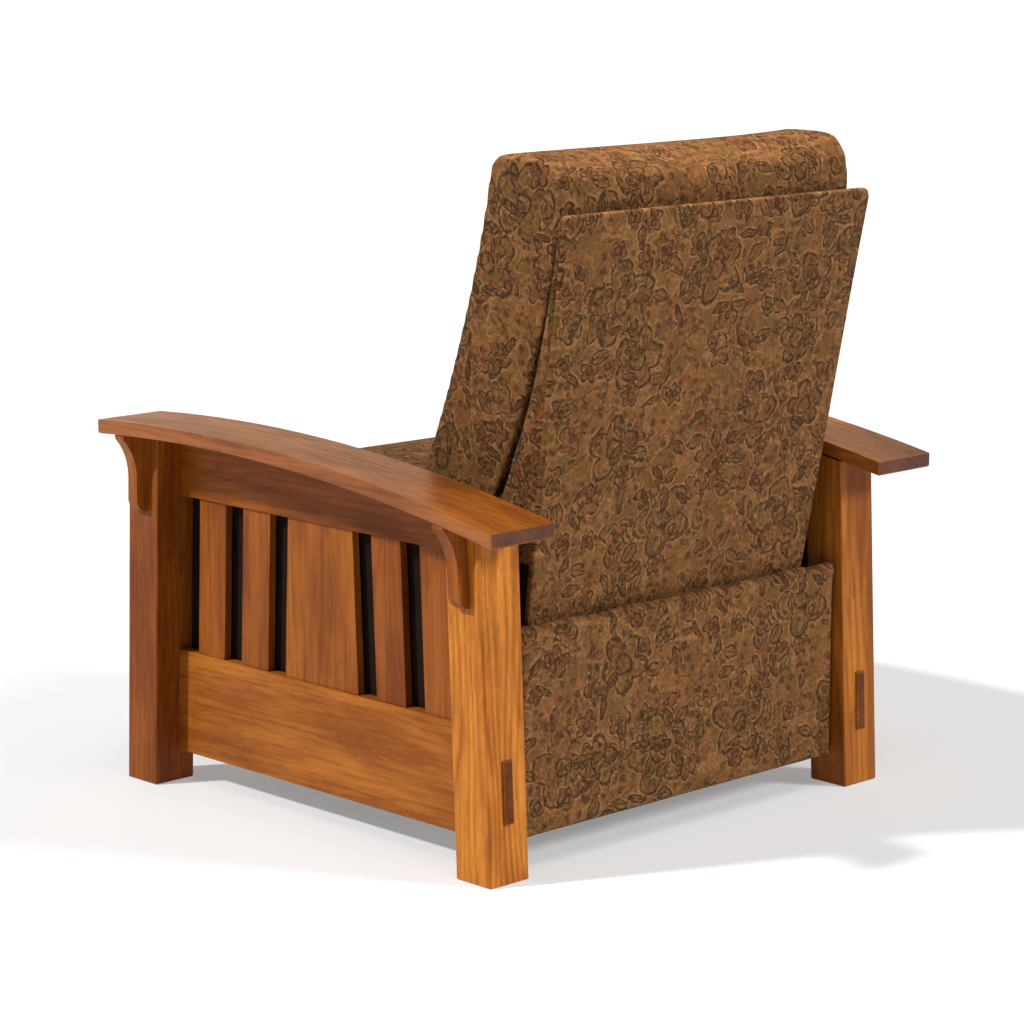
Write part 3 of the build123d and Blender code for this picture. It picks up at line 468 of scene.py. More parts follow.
@dataclass(frozen=True)
class Tapestry:
    """Mottled brown tapestry with dark outlined flowers, leaves and vines.

    Attributes:
        shift: moves the pattern so that panels differ.
        painted_top_light: how strongly faces that look up are painted lighter, a painted highlight for the
            light from above, from 0 to 1.
        taupe: darker ground.
        tan: lighter ground.
        rust: patches and small flowers.
        olive: patches, large flowers and leaves.
        ink: outlines.
        pale: thread beside the outlines.
        painted_top_gain: what the full painted highlight does to each channel.
        large: the large flowers.
        small: the small flowers.
        leaf: the leaves.
        pull: how far the weave distorts the drawing, in metres.
    """

    shift: float = 0.0
    painted_top_light: float = 0.0
    taupe: Triple = (0.138, 0.058, 0.0172)
    tan: Triple = (0.208, 0.089, 0.0260)
    rust: Triple = (0.165, 0.056, 0.0185)
    olive: Triple = (0.118, 0.064, 0.0160)
    ink: Triple = (0.026, 0.0115, 0.0045)
    pale: Triple = (0.320, 0.158, 0.062)
    painted_top_gain: Triple = (1.8, 1.75, 1.75)
    large: Motif = Motif(7.6, 0.66, 0.0040, 0.0)
    small: Motif = Motif(19.0, 0.55, 0.0027, 3.7)
    leaf: Motif = Motif(25.0, 0.46, 0.0026, 5.5)
    pull: float = 0.017

    def outline(self, g: Graph, distance: object, width: float) -> Socket:
        """Line where a distance crosses zero.

        Args:
            g: the graph.
            distance: distance from the outline.
            width: half the line's width.

        Returns:
            1 on the line, 0 off it.
        """
        return g.band(g.math("ABSOLUTE", distance), width * 0.35, width, 1.0, 0.0)

    def cells(self, g: Graph, cloth: object, scale: float, shift: float) -> Tuple[Socket, ...]:
        """Splits the cloth into cells with a middle each.

        Args:
            g: the graph.
            cloth: place on the cloth, in metres.
            scale: cells per metre.
            shift: moves the cells.

        Returns:
            Across, up, radius and three random values of the cell.
        """
        spot = g.place(cloth, (scale, scale, 0.0), (shift, shift * 2.3, 0.0))
        grid = g.node("TexVoronoi", {"voronoi_dimensions": "2D"}, Vector=spot, Scale=1.0, Randomness=0.82)
        local = g.vector("SUBTRACT", spot, grid.outputs["Position"]).outputs[0]
        random = g.node("SeparateColor", None, Color=grid.outputs["Color"])
        angle = g.times(random.outputs[0], math.tau)
        turned = g.node("VectorRotate", {"rotation_type": "Z_AXIS"}, Vector=local, Angle=angle).outputs[0]
        parts = g.node("SeparateXYZ", None, Vector=turned)
        radius = g.vector("LENGTH", turned).outputs["Value"]
        return (parts.outputs[0], parts.outputs[1], radius, *[random.outputs[i] for i in range(3)])

    def blooms(self, g: Graph, cloth: object, motif: Motif) -> Tuple[Socket, ...]:
        """Scatters outlined flowers.

        Args:
            g: the graph.
            cloth: place on the cloth, in metres.
            motif: how they are scattered.

        Returns:
            The dark outlines, the pale line round them, the inside and a random value.
        """
        x, y, radius, pick, chance, size = self.cells(g, cloth, motif.scale, motif.shift + self.shift)
        weight = motif.pen * motif.scale
        petals = g.math("ABSOLUTE", g.math("COSINE", g.times(g.math("ARCTAN2", y, x), 2.5)))
        reach = g.times(g.plus(0.60, g.times(petals, 0.40)), g.band(size, 0.0, 1.0, 0.28, 0.50))
        beyond = g.less(radius, reach)
        shown = g.band(chance, 0.99 - motif.share, 1.01 - motif.share)
        inside = g.band(beyond, -weight, weight * 0.2, 1.0, 0.0)
        edge = self.outline(g, beyond, weight)
        inner = g.times(self.outline(g, g.plus(beyond, weight * 3.2), weight * 0.6), 0.6)
        core = self.outline(g, g.less(radius, 0.11), weight * 0.9)
        spokes = self.outline(g, g.times(g.less(petals, 0.03), radius), weight * 0.45)
        lines = g.most(edge, inner, core, g.times(g.times(spokes, inside), 0.7))
        halo = self.outline(g, g.less(beyond, weight * 1.5), weight * 0.8)
        return tuple(g.times(item, shown) for item in (lines, halo, inside)) + (pick,)

    def leaves(self, g: Graph, cloth: object, motif: Motif) -> Tuple[Socket, ...]:
        """Scatters outlined leaves.

        Args:
            g: the graph.
            cloth: place on the cloth, in metres.
            motif: how they are scattered.

        Returns:
            The dark outlines, the pale line round them and the inside.
        """
        x, y, _, _, chance, size = self.cells(g, cloth, motif.scale, motif.shift + self.shift)
        weight = motif.pen * motif.scale
        along = g.math("DIVIDE", x, 0.47)
        bow = g.less(1.0, g.times(along, along))
        edge = g.less(g.math("ABSOLUTE", y), g.times(bow, g.band(size, 0.0, 1.0, 0.12, 0.27)))
        here = g.times(g.band(g.math("ABSOLUTE", x), 0.44, 0.48, 1.0, 0.0),
                       g.band(chance, 0.99 - motif.share, 1.01 - motif.share))
        inside = g.band(edge, -weight, 0.0, 1.0, 0.0)
        lines = g.most(self.outline(g, edge, weight), g.times(self.outline(g, y, weight * 0.6), inside))
        halo = self.outline(g, g.less(edge, weight * 1.4), weight * 0.8)
        return tuple(g.times(item, here) for item in (lines, halo, inside))

    def ground(self, g: Graph, flat: Socket) -> Socket:
        """Mottled ground under the drawing.

        Args:
            g: the graph.
            flat: place on the cloth, in metres.

        Returns:
            Its colour.
        """
        mottle = g.noise(flat, 26.0, 4.0, 0.66, True)
        patch = g.noise(flat, 30.0, 4.0, 0.62, True, (3.1 + self.shift, 1.7, 0.0))
        tint = g.noise(flat, 19.0, 4.0, 0.60, True, (7.3, 4.1 + self.shift, 0.0))
        colour = g.blend(g.band(mottle, 0.34, 0.66), self.taupe, self.tan)
        colour = g.blend(g.band(patch, 0.52, 0.66, 0.0, 0.62), colour, self.rust)
        return g.blend(g.band(tint, 0.50, 0.66, 0.0, 0.66), colour, self.olive)

    def drawing(self, g: Graph, flat: Socket, colour: Socket) -> Tuple[Socket, Socket]:
        """Draws flowers, leaves, dots and vines on the ground.

        Args:
            g: the graph.
            flat: place on the cloth, in metres.
            colour: the ground's colour.

        Returns:
            The colour and the dark marks.
        """
        warp = g.noise(flat, 30.0, 3.0, 0.55, True).node.outputs["Color"]
        centred = g.vector("SUBTRACT", warp, (0.5, 0.5, 0.5)).outputs[0]
        pulled = g.vector("MULTIPLY", centred, (self.pull, self.pull, 0.0)).outputs[0]
        cloth = g.vector("ADD", flat, pulled).outputs[0]
        large, large_halo, large_inside, large_pick = self.blooms(g, cloth, self.large)
        small, small_halo, small_inside, small_pick = self.blooms(g, cloth, self.small)
        leaf, leaf_halo, leaf_inside = self.leaves(g, cloth, self.leaf)
        colour = g.blend(g.times(large_inside, g.band(large_pick, 0.3, 0.7, 0.05, 0.38)), colour, self.olive)
        colour = g.blend(g.times(small_inside, g.band(small_pick, 0.4, 0.6, 0.08, 0.50)), colour, self.rust)
        colour = g.blend(g.times(leaf_inside, 0.30), colour, self.olive)

        _, _, radius, _, chance, _ = self.cells(g, cloth, 54.0, self.shift + 9.5)
        dots = g.times(self.outline(g, g.less(radius, 0.16), 0.20), g.band(chance, 0.48, 0.52))
        wander = g.noise(cloth, 15.0, 3.0, 0.5, True, (1.3, 8.2 + self.shift, 0.0))
        vine = self.outline(g, g.less(wander, 0.5), 0.020)
        stem = self.outline(g, g.less(wander, 0.56), 0.016)
        thread = g.band(g.noise(flat, 120.0, 2.0, 0.6, True), 0.30, 0.54, 0.30, 1.0)
        halo = g.most(large_halo, small_halo, leaf_halo, g.times(vine, 0.8))
        colour = g.blend(g.times(g.times(halo, thread), 0.50), colour, self.pale)
        marks = g.most(large, small, leaf, g.times(g.most(dots, stem), 0.75))
        marks = g.times(g.times(marks, thread), 0.86)
        return g.blend(marks, colour, self.ink), marks

    def material(self) -> bpy.types.Material:
        """Builds the material."""
        g = Graph(f"tapestry_{int(self.shift * 10)}")
        flat = g.node("UVMap", {"uv_map": "cloth"}).outputs[0]
        colour, marks = self.drawing(g, flat, self.ground(g, flat))
        weave = g.times(g.wave(flat, "X", 310.0, 0.8), g.wave(flat, "Y", 270.0, 0.8))
        slub = g.noise(flat, 420.0, 3.0, 0.6, True)
        fleck = g.noise(flat, 150.0, 4.0, 0.70, True)
        shade = g.plus(g.times(weave, 0.16), g.band(slub, 0.25, 0.75, 0.78, 1.10))
        shade = g.times(shade, g.band(fleck, 0.30, 0.70, 0.72, 1.26))
        tone = g.node("CombineXYZ", None, X=shade, Y=shade, Z=shade).outputs[0]
        colour = g.blend(1.0, colour, tone, "MULTIPLY")
        # Painted highlight: faces that look up are made lighter, standing in for the light that falls on them
        # from above.
        painted_top_mask = g.band(g.facing(Axis.UPRIGHT), 0.20, 0.80, 0.0, self.painted_top_light)
        colour = g.blend(painted_top_mask, colour, self.painted_top_gain, "MULTIPLY")
        raised = g.bump(marks, 0.35, 0.0006)
        return g.surface(Base_Color=colour, Roughness=g.band(slub, 0.2, 0.8, 0.76, 0.94),
                         Sheen_Weight=0.02, Sheen_Roughness=0.5, Specular_IOR_Level=0.10,
                         Normal=g.bump(g.plus(weave, slub), 0.5, 0.0005, raised))


@dataclass(frozen=True)
class BlackCloth:
    """Thin black cloth of the linings and the deck, kept near black so that it also paints the deep shade in
    the gaps where it shows.
    """

    def material(self) -> bpy.types.Material:
        """Builds the material."""
        g = Graph("black_cloth")
        place = g.object_place()
        fibre = g.noise(place, 700.0, 3.0, 0.6)
        cloud = g.noise(place, 14.0, 2.0, 0.5)
        # Near-black colour: a real black lining that also stands in for the shade in the gaps past the slats
        # and the cushions.
        colour = g.blend(g.band(fibre, 0.3, 0.7), (0.0060, 0.0030, 0.0020), (0.0160, 0.0080, 0.0050))
        colour = g.blend(g.band(cloud, 0.4, 0.8, 0.0, 0.4), colour, (0.022, 0.011, 0.007))
        return g.surface(Base_Color=colour, Roughness=g.band(fibre, 0.2, 0.8, 0.85, 0.97),
                         Specular_IOR_Level=0.1, Normal=g.bump(fibre, 0.4, 0.0005))


@dataclass(frozen=True)
class Webbing:
    """Black woven elastic webbing with paler stripes."""

    def material(self) -> bpy.types.Material:
        """Builds the material."""
        g = Graph("webbing")
        place = g.object_place()
        stripe = g.wave(place, "Z", 22.0, 0.4)
        yarn = g.noise(place, (90.0, 600.0, 600.0), 2.0, 0.6)
        colour = g.blend(g.band(stripe, 0.72, 0.9), (0.020, 0.016, 0.013), (0.060, 0.048, 0.036))
        colour = g.blend(g.band(yarn, 0.35, 0.7, 0.0, 0.5), colour, (0.012, 0.010, 0.008))
        return g.surface(Base_Color=colour, Roughness=g.band(yarn, 0.2, 0.8, 0.8, 0.95),
                         Normal=g.bump(yarn, 0.6, 0.0006))


@dataclass(frozen=True)
class Steel:
    """Steel of the linkage.

    Attributes:
        painted: black painted when true, bright zinc when false.
    """

    painted: bool = True

    def material(self) -> bpy.types.Material:
        """Builds the material."""
        g = Graph("painted_steel" if self.painted else "bright_steel")
        place = g.object_place()
        speck = g.noise(place, 320.0, 4.0, 0.6)
        cloud = g.noise(place, 24.0, 3.0, 0.6)
        dark, pale, smooth, rough = (0.50, 0.50, 0.48), (0.66, 0.66, 0.62), 0.28, 0.45
        if self.painted:
            dark, pale, smooth, rough = (0.018, 0.018, 0.020), (0.040, 0.040, 0.042), 0.34, 0.48
        return g.surface(Base_Color=g.blend(g.band(cloud, 0.35, 0.75), dark, pale),
                         Metallic=0.0 if self.painted else 1.0,
                         Roughness=g.band(speck, 0.3, 0.7, smooth, rough),
                         Normal=g.bump(speck, 0.15, 0.0003))


@dataclass(frozen=True)
class LightTable:
    """Pale floor that gives a little light itself.

    Attributes:
        glow: strength of its light.
    """

    glow: float = 0.28

    def material(self) -> bpy.types.Material:
        """Builds the material."""
        g = Graph("floor")
        cloud = g.noise(g.object_place(), 3.0, 2.0, 0.5)
        return g.surface(Base_Color=g.blend(cloud, (0.60, 0.60, 0.60), (0.62, 0.62, 0.62)),
                         Emission_Color=(1.0, 1.0, 1.0), Emission_Strength=self.glow, Roughness=0.95,
                         Specular_IOR_Level=0.05)


def add_object(name: str, data: bpy.types.ID) -> bpy.types.Object:
    """Puts a mesh, a light or a camera into the scene.

    Args:
        name: the object's name.
        data: what it shows.

    Returns:
        The object.
    """
    made = bpy.data.objects.new(name, data)
    bpy.context.scene.collection.objects.link(made)
    return made


def add_piece(name: str, shape: bmesh.types.BMesh) -> bpy.types.Object:
    """Turns a shape into a piece and frees the shape.

    Args:
        name: the piece's name.
        shape: its shape.

    Returns:
        The piece.
    """
    mesh = bpy.data.meshes.new(name)
    shape.to_mesh(mesh)
    shape.free()
    return add_object(name, mesh)


def welded(node: str) -> bmesh.types.BMesh:
    """Copies a CAD node's mesh, with its split corners joined.

    Args:
        node: the node.

    Returns:
        The shape.
    """
    shape = bmesh.new()
    shape.from_mesh(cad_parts[node].data)
    bmesh.ops.remove_doubles(shape, verts=shape.verts, dist=WELD)
    return shape


def settle(piece: bpy.types.Object) -> None:
    """Replaces a piece's mesh by its evaluated one and drops its modifiers.

    Args:
        piece: the piece.
    """
    bpy.context.view_layer.update()
    graph = bpy.context.evaluated_depsgraph_get()
    mesh = bpy.data.meshes.new_from_object(piece.evaluated_get(graph))
    piece.modifiers.clear()
    old = piece.data
    piece.data = mesh
    bpy.data.meshes.remove(old)


def smooth_faces(piece: bpy.types.Object) -> None:
    """Shades a piece smoothly."""
    piece.data.polygons.foreach_set("use_smooth", [True] * len(piece.data.polygons))
    piece.data.update()


def cloth_uv(piece: bpy.types.Object, unroll: Callable[[Vector, Vector], Pair]) -> None:
    """Lays the cloth on a piece: one UV unit is a metre.

    Args:
        piece: the piece.
        unroll: gives the place on the cloth from a point and its face's normal.
    """
    layer = piece.data.uv_layers.new(name="cloth")
    for face in piece.data.polygons:
        for corner in face.loop_indices:
            point = piece.data.vertices[piece.data.loops[corner].vertex_index].co
            layer.data[corner].uv = unroll(point, face.normal)


def wear(piece: bpy.types.Object, finish: Finish) -> None:
    """Gives a piece its finish.

    Args:
        piece: the piece.
        finish: its finish.
    """
    material = finish.material()
    if not piece.material_slots:
        piece.data.materials.append(material)
    for place in piece.material_slots:
        place.material = material


def dress(nodes: Sequence[str], finish: Finish) -> None:
    """Gives CAD nodes their finish.

    Args:
        nodes: their names.
        finish: their finish.
    """
    for name in nodes:
        wear(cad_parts[name], finish)
        LOG.info("dressed %s", name)


def upholster(piece: bpy.types.Object, node: str, body: str, cloth: Tapestry, fill: float) -> None:
    """Makes a padded piece stand for its CAD node.

    Args:
        piece: the piece.
        node: the node that it replaces.
        body: the body that it rides on.
        cloth: its cloth.
        fill: not used.
    """
    wear(piece, cloth)
    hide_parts(node)
    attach(piece, body)
    LOG.info("made %s", piece.name)


def steps(count: int, edge: float) -> List[float]:
    """Steps from 0 to 1 that crowd towards both ends.

    Args:
        count: number of even steps in the middle.
        edge: share of the run that is crowded at each end.

    Returns:
        The steps.
    """
    crowd = [edge * share for share in (0.0, 0.08, 0.2, 0.38, 0.62)]
    middle = [edge + (1 - 2 * edge) * i / count for i in range(count + 1)]
    return crowd + middle + [1 - t for t in reversed(crowd)]


def roll(distance: float, radius: float) -> float:
    """Height share of a rolled edge: 0 at the edge, 1 a radius inside it."""
    inside = max(0.0, 1.0 - distance / radius)
    return math.sqrt(max(0.0, 1.0 - inside * inside))


def rounded(one: float, two: float, radius: float) -> Pair:
    """Turns a square corner into a round one.

    Args:
        one: distance inside the first edge.
        two: distance inside the second edge.
        radius: the corner's radius.

    Returns:
        The two distances in the round corner.
    """
    if one >= radius or two >= radius:
        return one, two
    s, t = 1 - max(0.0, one) / radius, 1 - max(0.0, two) / radius
    return radius * (1 - s * math.sqrt(1 - t * t / 2)), radius * (1 - t * math.sqrt(1 - s * s / 2))


@dataclass(frozen=True)
class Rumple:
    """Gentle unevenness of padding.

    Attributes:
        scale: waves per metre.
        amount: height in metres.
        seed: moves the pattern.
    """

    scale: float
    amount: float
    seed: float

    def at(self, point: Vector) -> float:
        """Height at a point, in metres."""
        x, y, z = (value * self.scale for value in point)
        return self.amount * noise.noise(Vector((x + self.seed, y - self.seed, z + 2 * self.seed)))


def border(rows: Sequence[List[bmesh.types.BMVert]]) -> List[bmesh.types.BMVert]:
    """Points round the edge of a grid."""
    return rows[0] + [row[-1] for row in rows[1:]] + rows[-1][-2::-1] + [row[0] for row in rows[-2:0:-1]]


def quilt(name: str, skin: Skin, across: Sequence[float], up: Sequence[float]) -> bpy.types.Object:
    """Closed padded panel between two surfaces that meet at their borders.

    Args:
        name: the piece's name.
        skin: point of a surface from its share across, its share up and its side, which is 1
            for the surface that shows and -1 for the one behind it.
        across: shares across.
        up: shares up.

    Returns:
        The piece.
    """
    shape = bmesh.new()
    skins = [[[shape.verts.new(skin(a, b, side)) for a in across] for b in up] for side in (1.0, -1.0)]
    for rows in skins:
        for low, high in zip(rows, rows[1:]):
            for i in range(len(across) - 1):
                shape.faces.new((low[i], low[i + 1], high[i + 1], high[i]))
    outer, inner = (border(rows) for rows in skins)
    for i in range(len(outer)):
        j = (i + 1) % len(outer)
        shape.faces.new((outer[i], outer[j], inner[j], inner[i]))
    bmesh.ops.remove_doubles(shape, verts=shape.verts, dist=SEAM)
    bmesh.ops.recalc_face_normals(shape, faces=shape.faces)
    piece = add_piece(name, shape)
    smooth_faces(piece)
    return piece


class Rim:
    """Closed outline of a padded solid's side face, seen along X.

    Attributes:
        half: how far the side face is from the chair's middle.
        points: Y and Z of the outline's points.
        lengths: length of the outline up to each point.
        tree: finds the point that is nearest to a place.
    """

    def __init__(self, node: str, side: float, spacing: float) -> None:
        """Reads the outline from a solid's side face.

        Args:
            node: the solid's node.
            side: 1 for the face at the highest X, -1 for the lowest.
            spacing: distance between the outline's points, in metres.
        """
        shape = welded(node)
        self.half = max(v.co.x * side for v in shape.verts)
        at_side = {v for v in shape.verts if v.co.x * side > self.half - SAME_PLANE}
        flat = {face for face in shape.faces if at_side.issuperset(face.verts)}
        beside: Dict[bmesh.types.BMVert, List[bmesh.types.BMVert]] = {}
        for line in shape.edges:
            if len(flat.intersection(line.link_faces)) == 1:
                first, second = line.verts
                beside.setdefault(first, []).append(second)
                beside.setdefault(second, []).append(first)
        order, last = [min(beside, key=lambda v: (v.co.z, v.co.y))], None
        while True:
            ahead = [v for v in beside[order[-1]] if v != last]
            last = order[-1]
            if not ahead or ahead[0] == order[0]:
                break
            order.append(ahead[0])
        corners = [v.co.copy() for v in order]
        shape.free()
        self.points: List[Pair] = []
        self.lengths: List[float] = []
        total = 0.0
        for here, there in zip(corners, corners[1:] + corners[:1]):
            span = (there - here).length
            count = max(1, int(span / spacing))
            for step in range(count):
                spot = here.lerp(there, step / count)
                self.points.append((spot.y, spot.z))
                self.lengths.append(total + span * step / count)
            total += span
        self.tree = KDTree(len(self.points))
        for index, (y, z) in enumerate(self.points):
            self.tree.insert((0.0, y, z), index)
        self.tree.balance()

    def nearest(self, point: Vector) -> Pair:
        """Distance from a point to the outline, and the outline's length up to there."""
        _, index, distance = self.tree.find((0.0, point.y, point.z))
        return distance, self.lengths[index]

    def span(self, z: float) -> Pair:
        """Finds where the outline crosses a height.

        Args:
            z: the height.

        Returns:
            The lowest and the highest Y.
        """
        found = []
        for (y1, z1), (y2, z2) in zip(self.points, self.points[1:] + self.points[:1]):
            if min(z1, z2) <= z <= max(z1, z2) and abs(z2 - z1) > LEVEL:
                found.append(y1 + (y2 - y1) * (z - z1) / (z2 - z1))
        return min(found), max(found)


@dataclass
class Inflate:
    """Swells a closed form with cloth simulation.

    Attributes:
        voxel: size of the remesh, in metres.
        pressure: inner pressure.
        cap: furthest that a point may move, in metres.
        inset: how much the form shrinks first, in metres.
        frames: length of the simulation.
        quality: steps of the simulation in each frame.
    """

    voxel: float = 0.008
    pressure: float = 5.0
    cap: float = 0.024
    inset: float = 0.004
    frames: int = 20
    quality: int = 4

    def prepare(self, piece: bpy.types.Object, hold: Callable[[Vector], float],
                form: Callable[[Vector], Vector]) -> List[float]:
        """Remeshes the piece evenly and shapes it.

        Args:
            piece: the piece, a closed mesh.
            hold: 1 where a point is held, 0 where it is free.
            form: moves a point before the simulation.

        Returns:
            How far each point is held.
        """
        remesh = piece.modifiers.new("remesh", "REMESH")
        remesh.mode = "VOXEL"
        remesh.voxel_size = self.voxel
        settle(piece)
        mesh = piece.data
        weights = []
        for vertex, normal in zip(mesh.vertices, [v.normal.copy() for v in mesh.vertices]):
            inner = vertex.co - normal * self.inset
            weights.append(hold(inner))
            vertex.co = form(inner)
        mesh.update()
        return weights

    def simulate(self, piece: bpy.types.Object, weights: Sequence[float]) -> None:
        """Runs the simulation and applies it.

        Args:
            piece: the piece.
            weights: how far each point is held.
        """
        pins = piece.vertex_groups.new(name="pins")
        for index, weight in enumerate(weights):
            if weight > 0:
                pins.add([index], weight, "REPLACE")
        cloth = piece.modifiers.new("cloth", "CLOTH")
        cloth.settings.use_pressure = True
        cloth.settings.uniform_pressure_force = self.pressure
        cloth.settings.effector_weights.gravity = 0.0
        cloth.settings.vertex_group_mass = "pins"
        cloth.settings.quality = self.quality
        cloth.point_cache.frame_start = 1
        cloth.point_cache.frame_end = self.frames
        for number in range(1, self.frames + 1):
            bpy.context.scene.frame_set(number)
        settle(piece)

    def run(self, piece: bpy.types.Object, hold: Callable[[Vector], float],
            form: Callable[[Vector], Vector]) -> None:
        """Args:
            piece: the piece, a closed mesh.
            hold: 1 where a point is held, 0 where it is free.
            form: moves a point before the simulation.
        """
        weights = self.prepare(piece, hold, form)
        start = [v.co.copy() for v in piece.data.vertices]
        self.simulate(piece, weights)
        moves = [vertex.co - home for vertex, home in zip(piece.data.vertices, start)]
        lengths = [move.length for move in moves]
        LOG.info("swell: mean %.4f, most %.4f", sum(lengths) / len(lengths), max(lengths))
        for vertex, home, move in zip(piece.data.vertices, start, moves):
            if move.length > self.cap:
                vertex.co = home + move.normalized() * self.cap
        piece.vertex_groups.clear()
        bpy.context.scene.frame_set(1)


@dataclass
class WoodFrame:
    """Legs, arms, rails, slats, corbels and end blocks of the two sides.

    Attributes:
        golden: tone of the left rear leg.
        honey: tone of the right rear leg, kept lower, partly to paint the shade on its inner face.
        middle: tone of the lower rails.
        plain: tone of the wide slats and the corbels; on the slats it is kept low to paint the shade in the
            recess under the arms.
        red: tone of the arms.
        brown: tone of the front legs, the upper rails and the narrow slats; on the front legs and the slats
            it is kept low to paint the shade they get, which is less light towards the front and the recess
            under the arms.
        shaded: tone of the front stretcher.
        block: tone of the end blocks.
        arm_gloss: gloss of the arms, which hands polish.
        shift_step: how far the grain moves from one board to the next.
    """

    golden: float = 0.90
    honey: float = 0.50
    middle: float = 0.36
    plain: float = 0.16
    red: float = 0.12
    brown: float = 0.02
    shaded: float = -0.06
    block: float = 0.42
    arm_gloss: float = 0.28
    shift_step: float = 1.3

    def build(self) -> None:
        """Dresses each board with its own grain."""
        upright, along, across = Axis.UPRIGHT, Axis.FRONT_TO_REAR, Axis.ACROSS
        # Names, direction of the grain, tone and strength of the growth rings.
        # Painted shade: the low tones of the front legs, the slats and the right rear leg stand in for the
        # shade that falls on them.
        boards = (
            (("leg_rear_left",), upright, self.golden, 1.9),
            (("leg_rear_right",), upright, self.honey, 1.5),
            (("leg_front_left", "leg_front_right"), upright, self.brown, 1.0),
            (("wide_slat_left", "wide_slat_right"), upright, self.plain, 1.0),
            (("narrow_slats_left", "narrow_slats_right"), upright, self.brown, 0.8),
            (("corbels_left", "corbels_right"), upright, self.plain, 0.7),
            (("end_blocks",), along, self.block, 0.7),
            (("lower_rail_left", "lower_rail_right"), along, self.middle, 0.8),
            (("upper_rail_left", "upper_rail_right"), along, self.brown, 0.8),
            (("arm_left", "arm_right"), along, self.red, 0.8),
            (("base_front_stretcher",), across, self.shaded, 0.8),
        )
        shift = 0.0
        for names, grain, tone, figure in boards:
            for name in names:
                shift += self.shift_step
                gloss = self.arm_gloss if name.startswith("arm_") else Oak.gloss
                dress([name], Oak(grain, tone, shift, gloss, figure))


@dataclass
class HiddenFrame:
    """Base box, seat frame, back frame and boards behind the padding."""

    def build(self) -> None:
        """Dresses the hidden boards, linings and webbing."""
        # The dark stain on these boards also paints the shade in the gaps past the cushions.
        dress(["base_sides", "base_cleats", "seat_side_rails"], FrameWood(Axis.FRONT_TO_REAR, True))
        dress(["base_rear_rail", "seat_cross_rails"], FrameWood(Axis.ACROSS, True))
        dress(["back_rails"], FrameWood(Axis.ACROSS))
        dress(["base_corner_blocks"], FrameWood(Axis.UPRIGHT))
        # The black cloth here, on the back's sides too, also paints the shade in the gaps where these boards
        # show.
        dress(["side_linings", "seat_deck", "back_sides", "rear_panel_board", "footrest_board"], BlackCloth())
        dress(["back_straps"], Webbing())


@dataclass
class Linkage:
    """Recliner and footrest links, plates, pins, springs and screws."""

    def build(self) -> None:
        """Dresses the steel."""
        dress(["base_plates", "seat_plates", "swing_links_front", "swing_links_rear", "drive_links",
               "guide_links", "coupler_links", "pad_links", "cross_tube", "footrest_brackets",
               "back_brackets"], Steel(True))
        dress(["base_bolts", "base_bushes", "base_rivets", "seat_bushes", "seat_rivets", "drive_rivets",
               "coupler_rivets", "pad_link_rivets", "recline_pins", "bracket_screws", "seat_springs"],
              Steel(False))


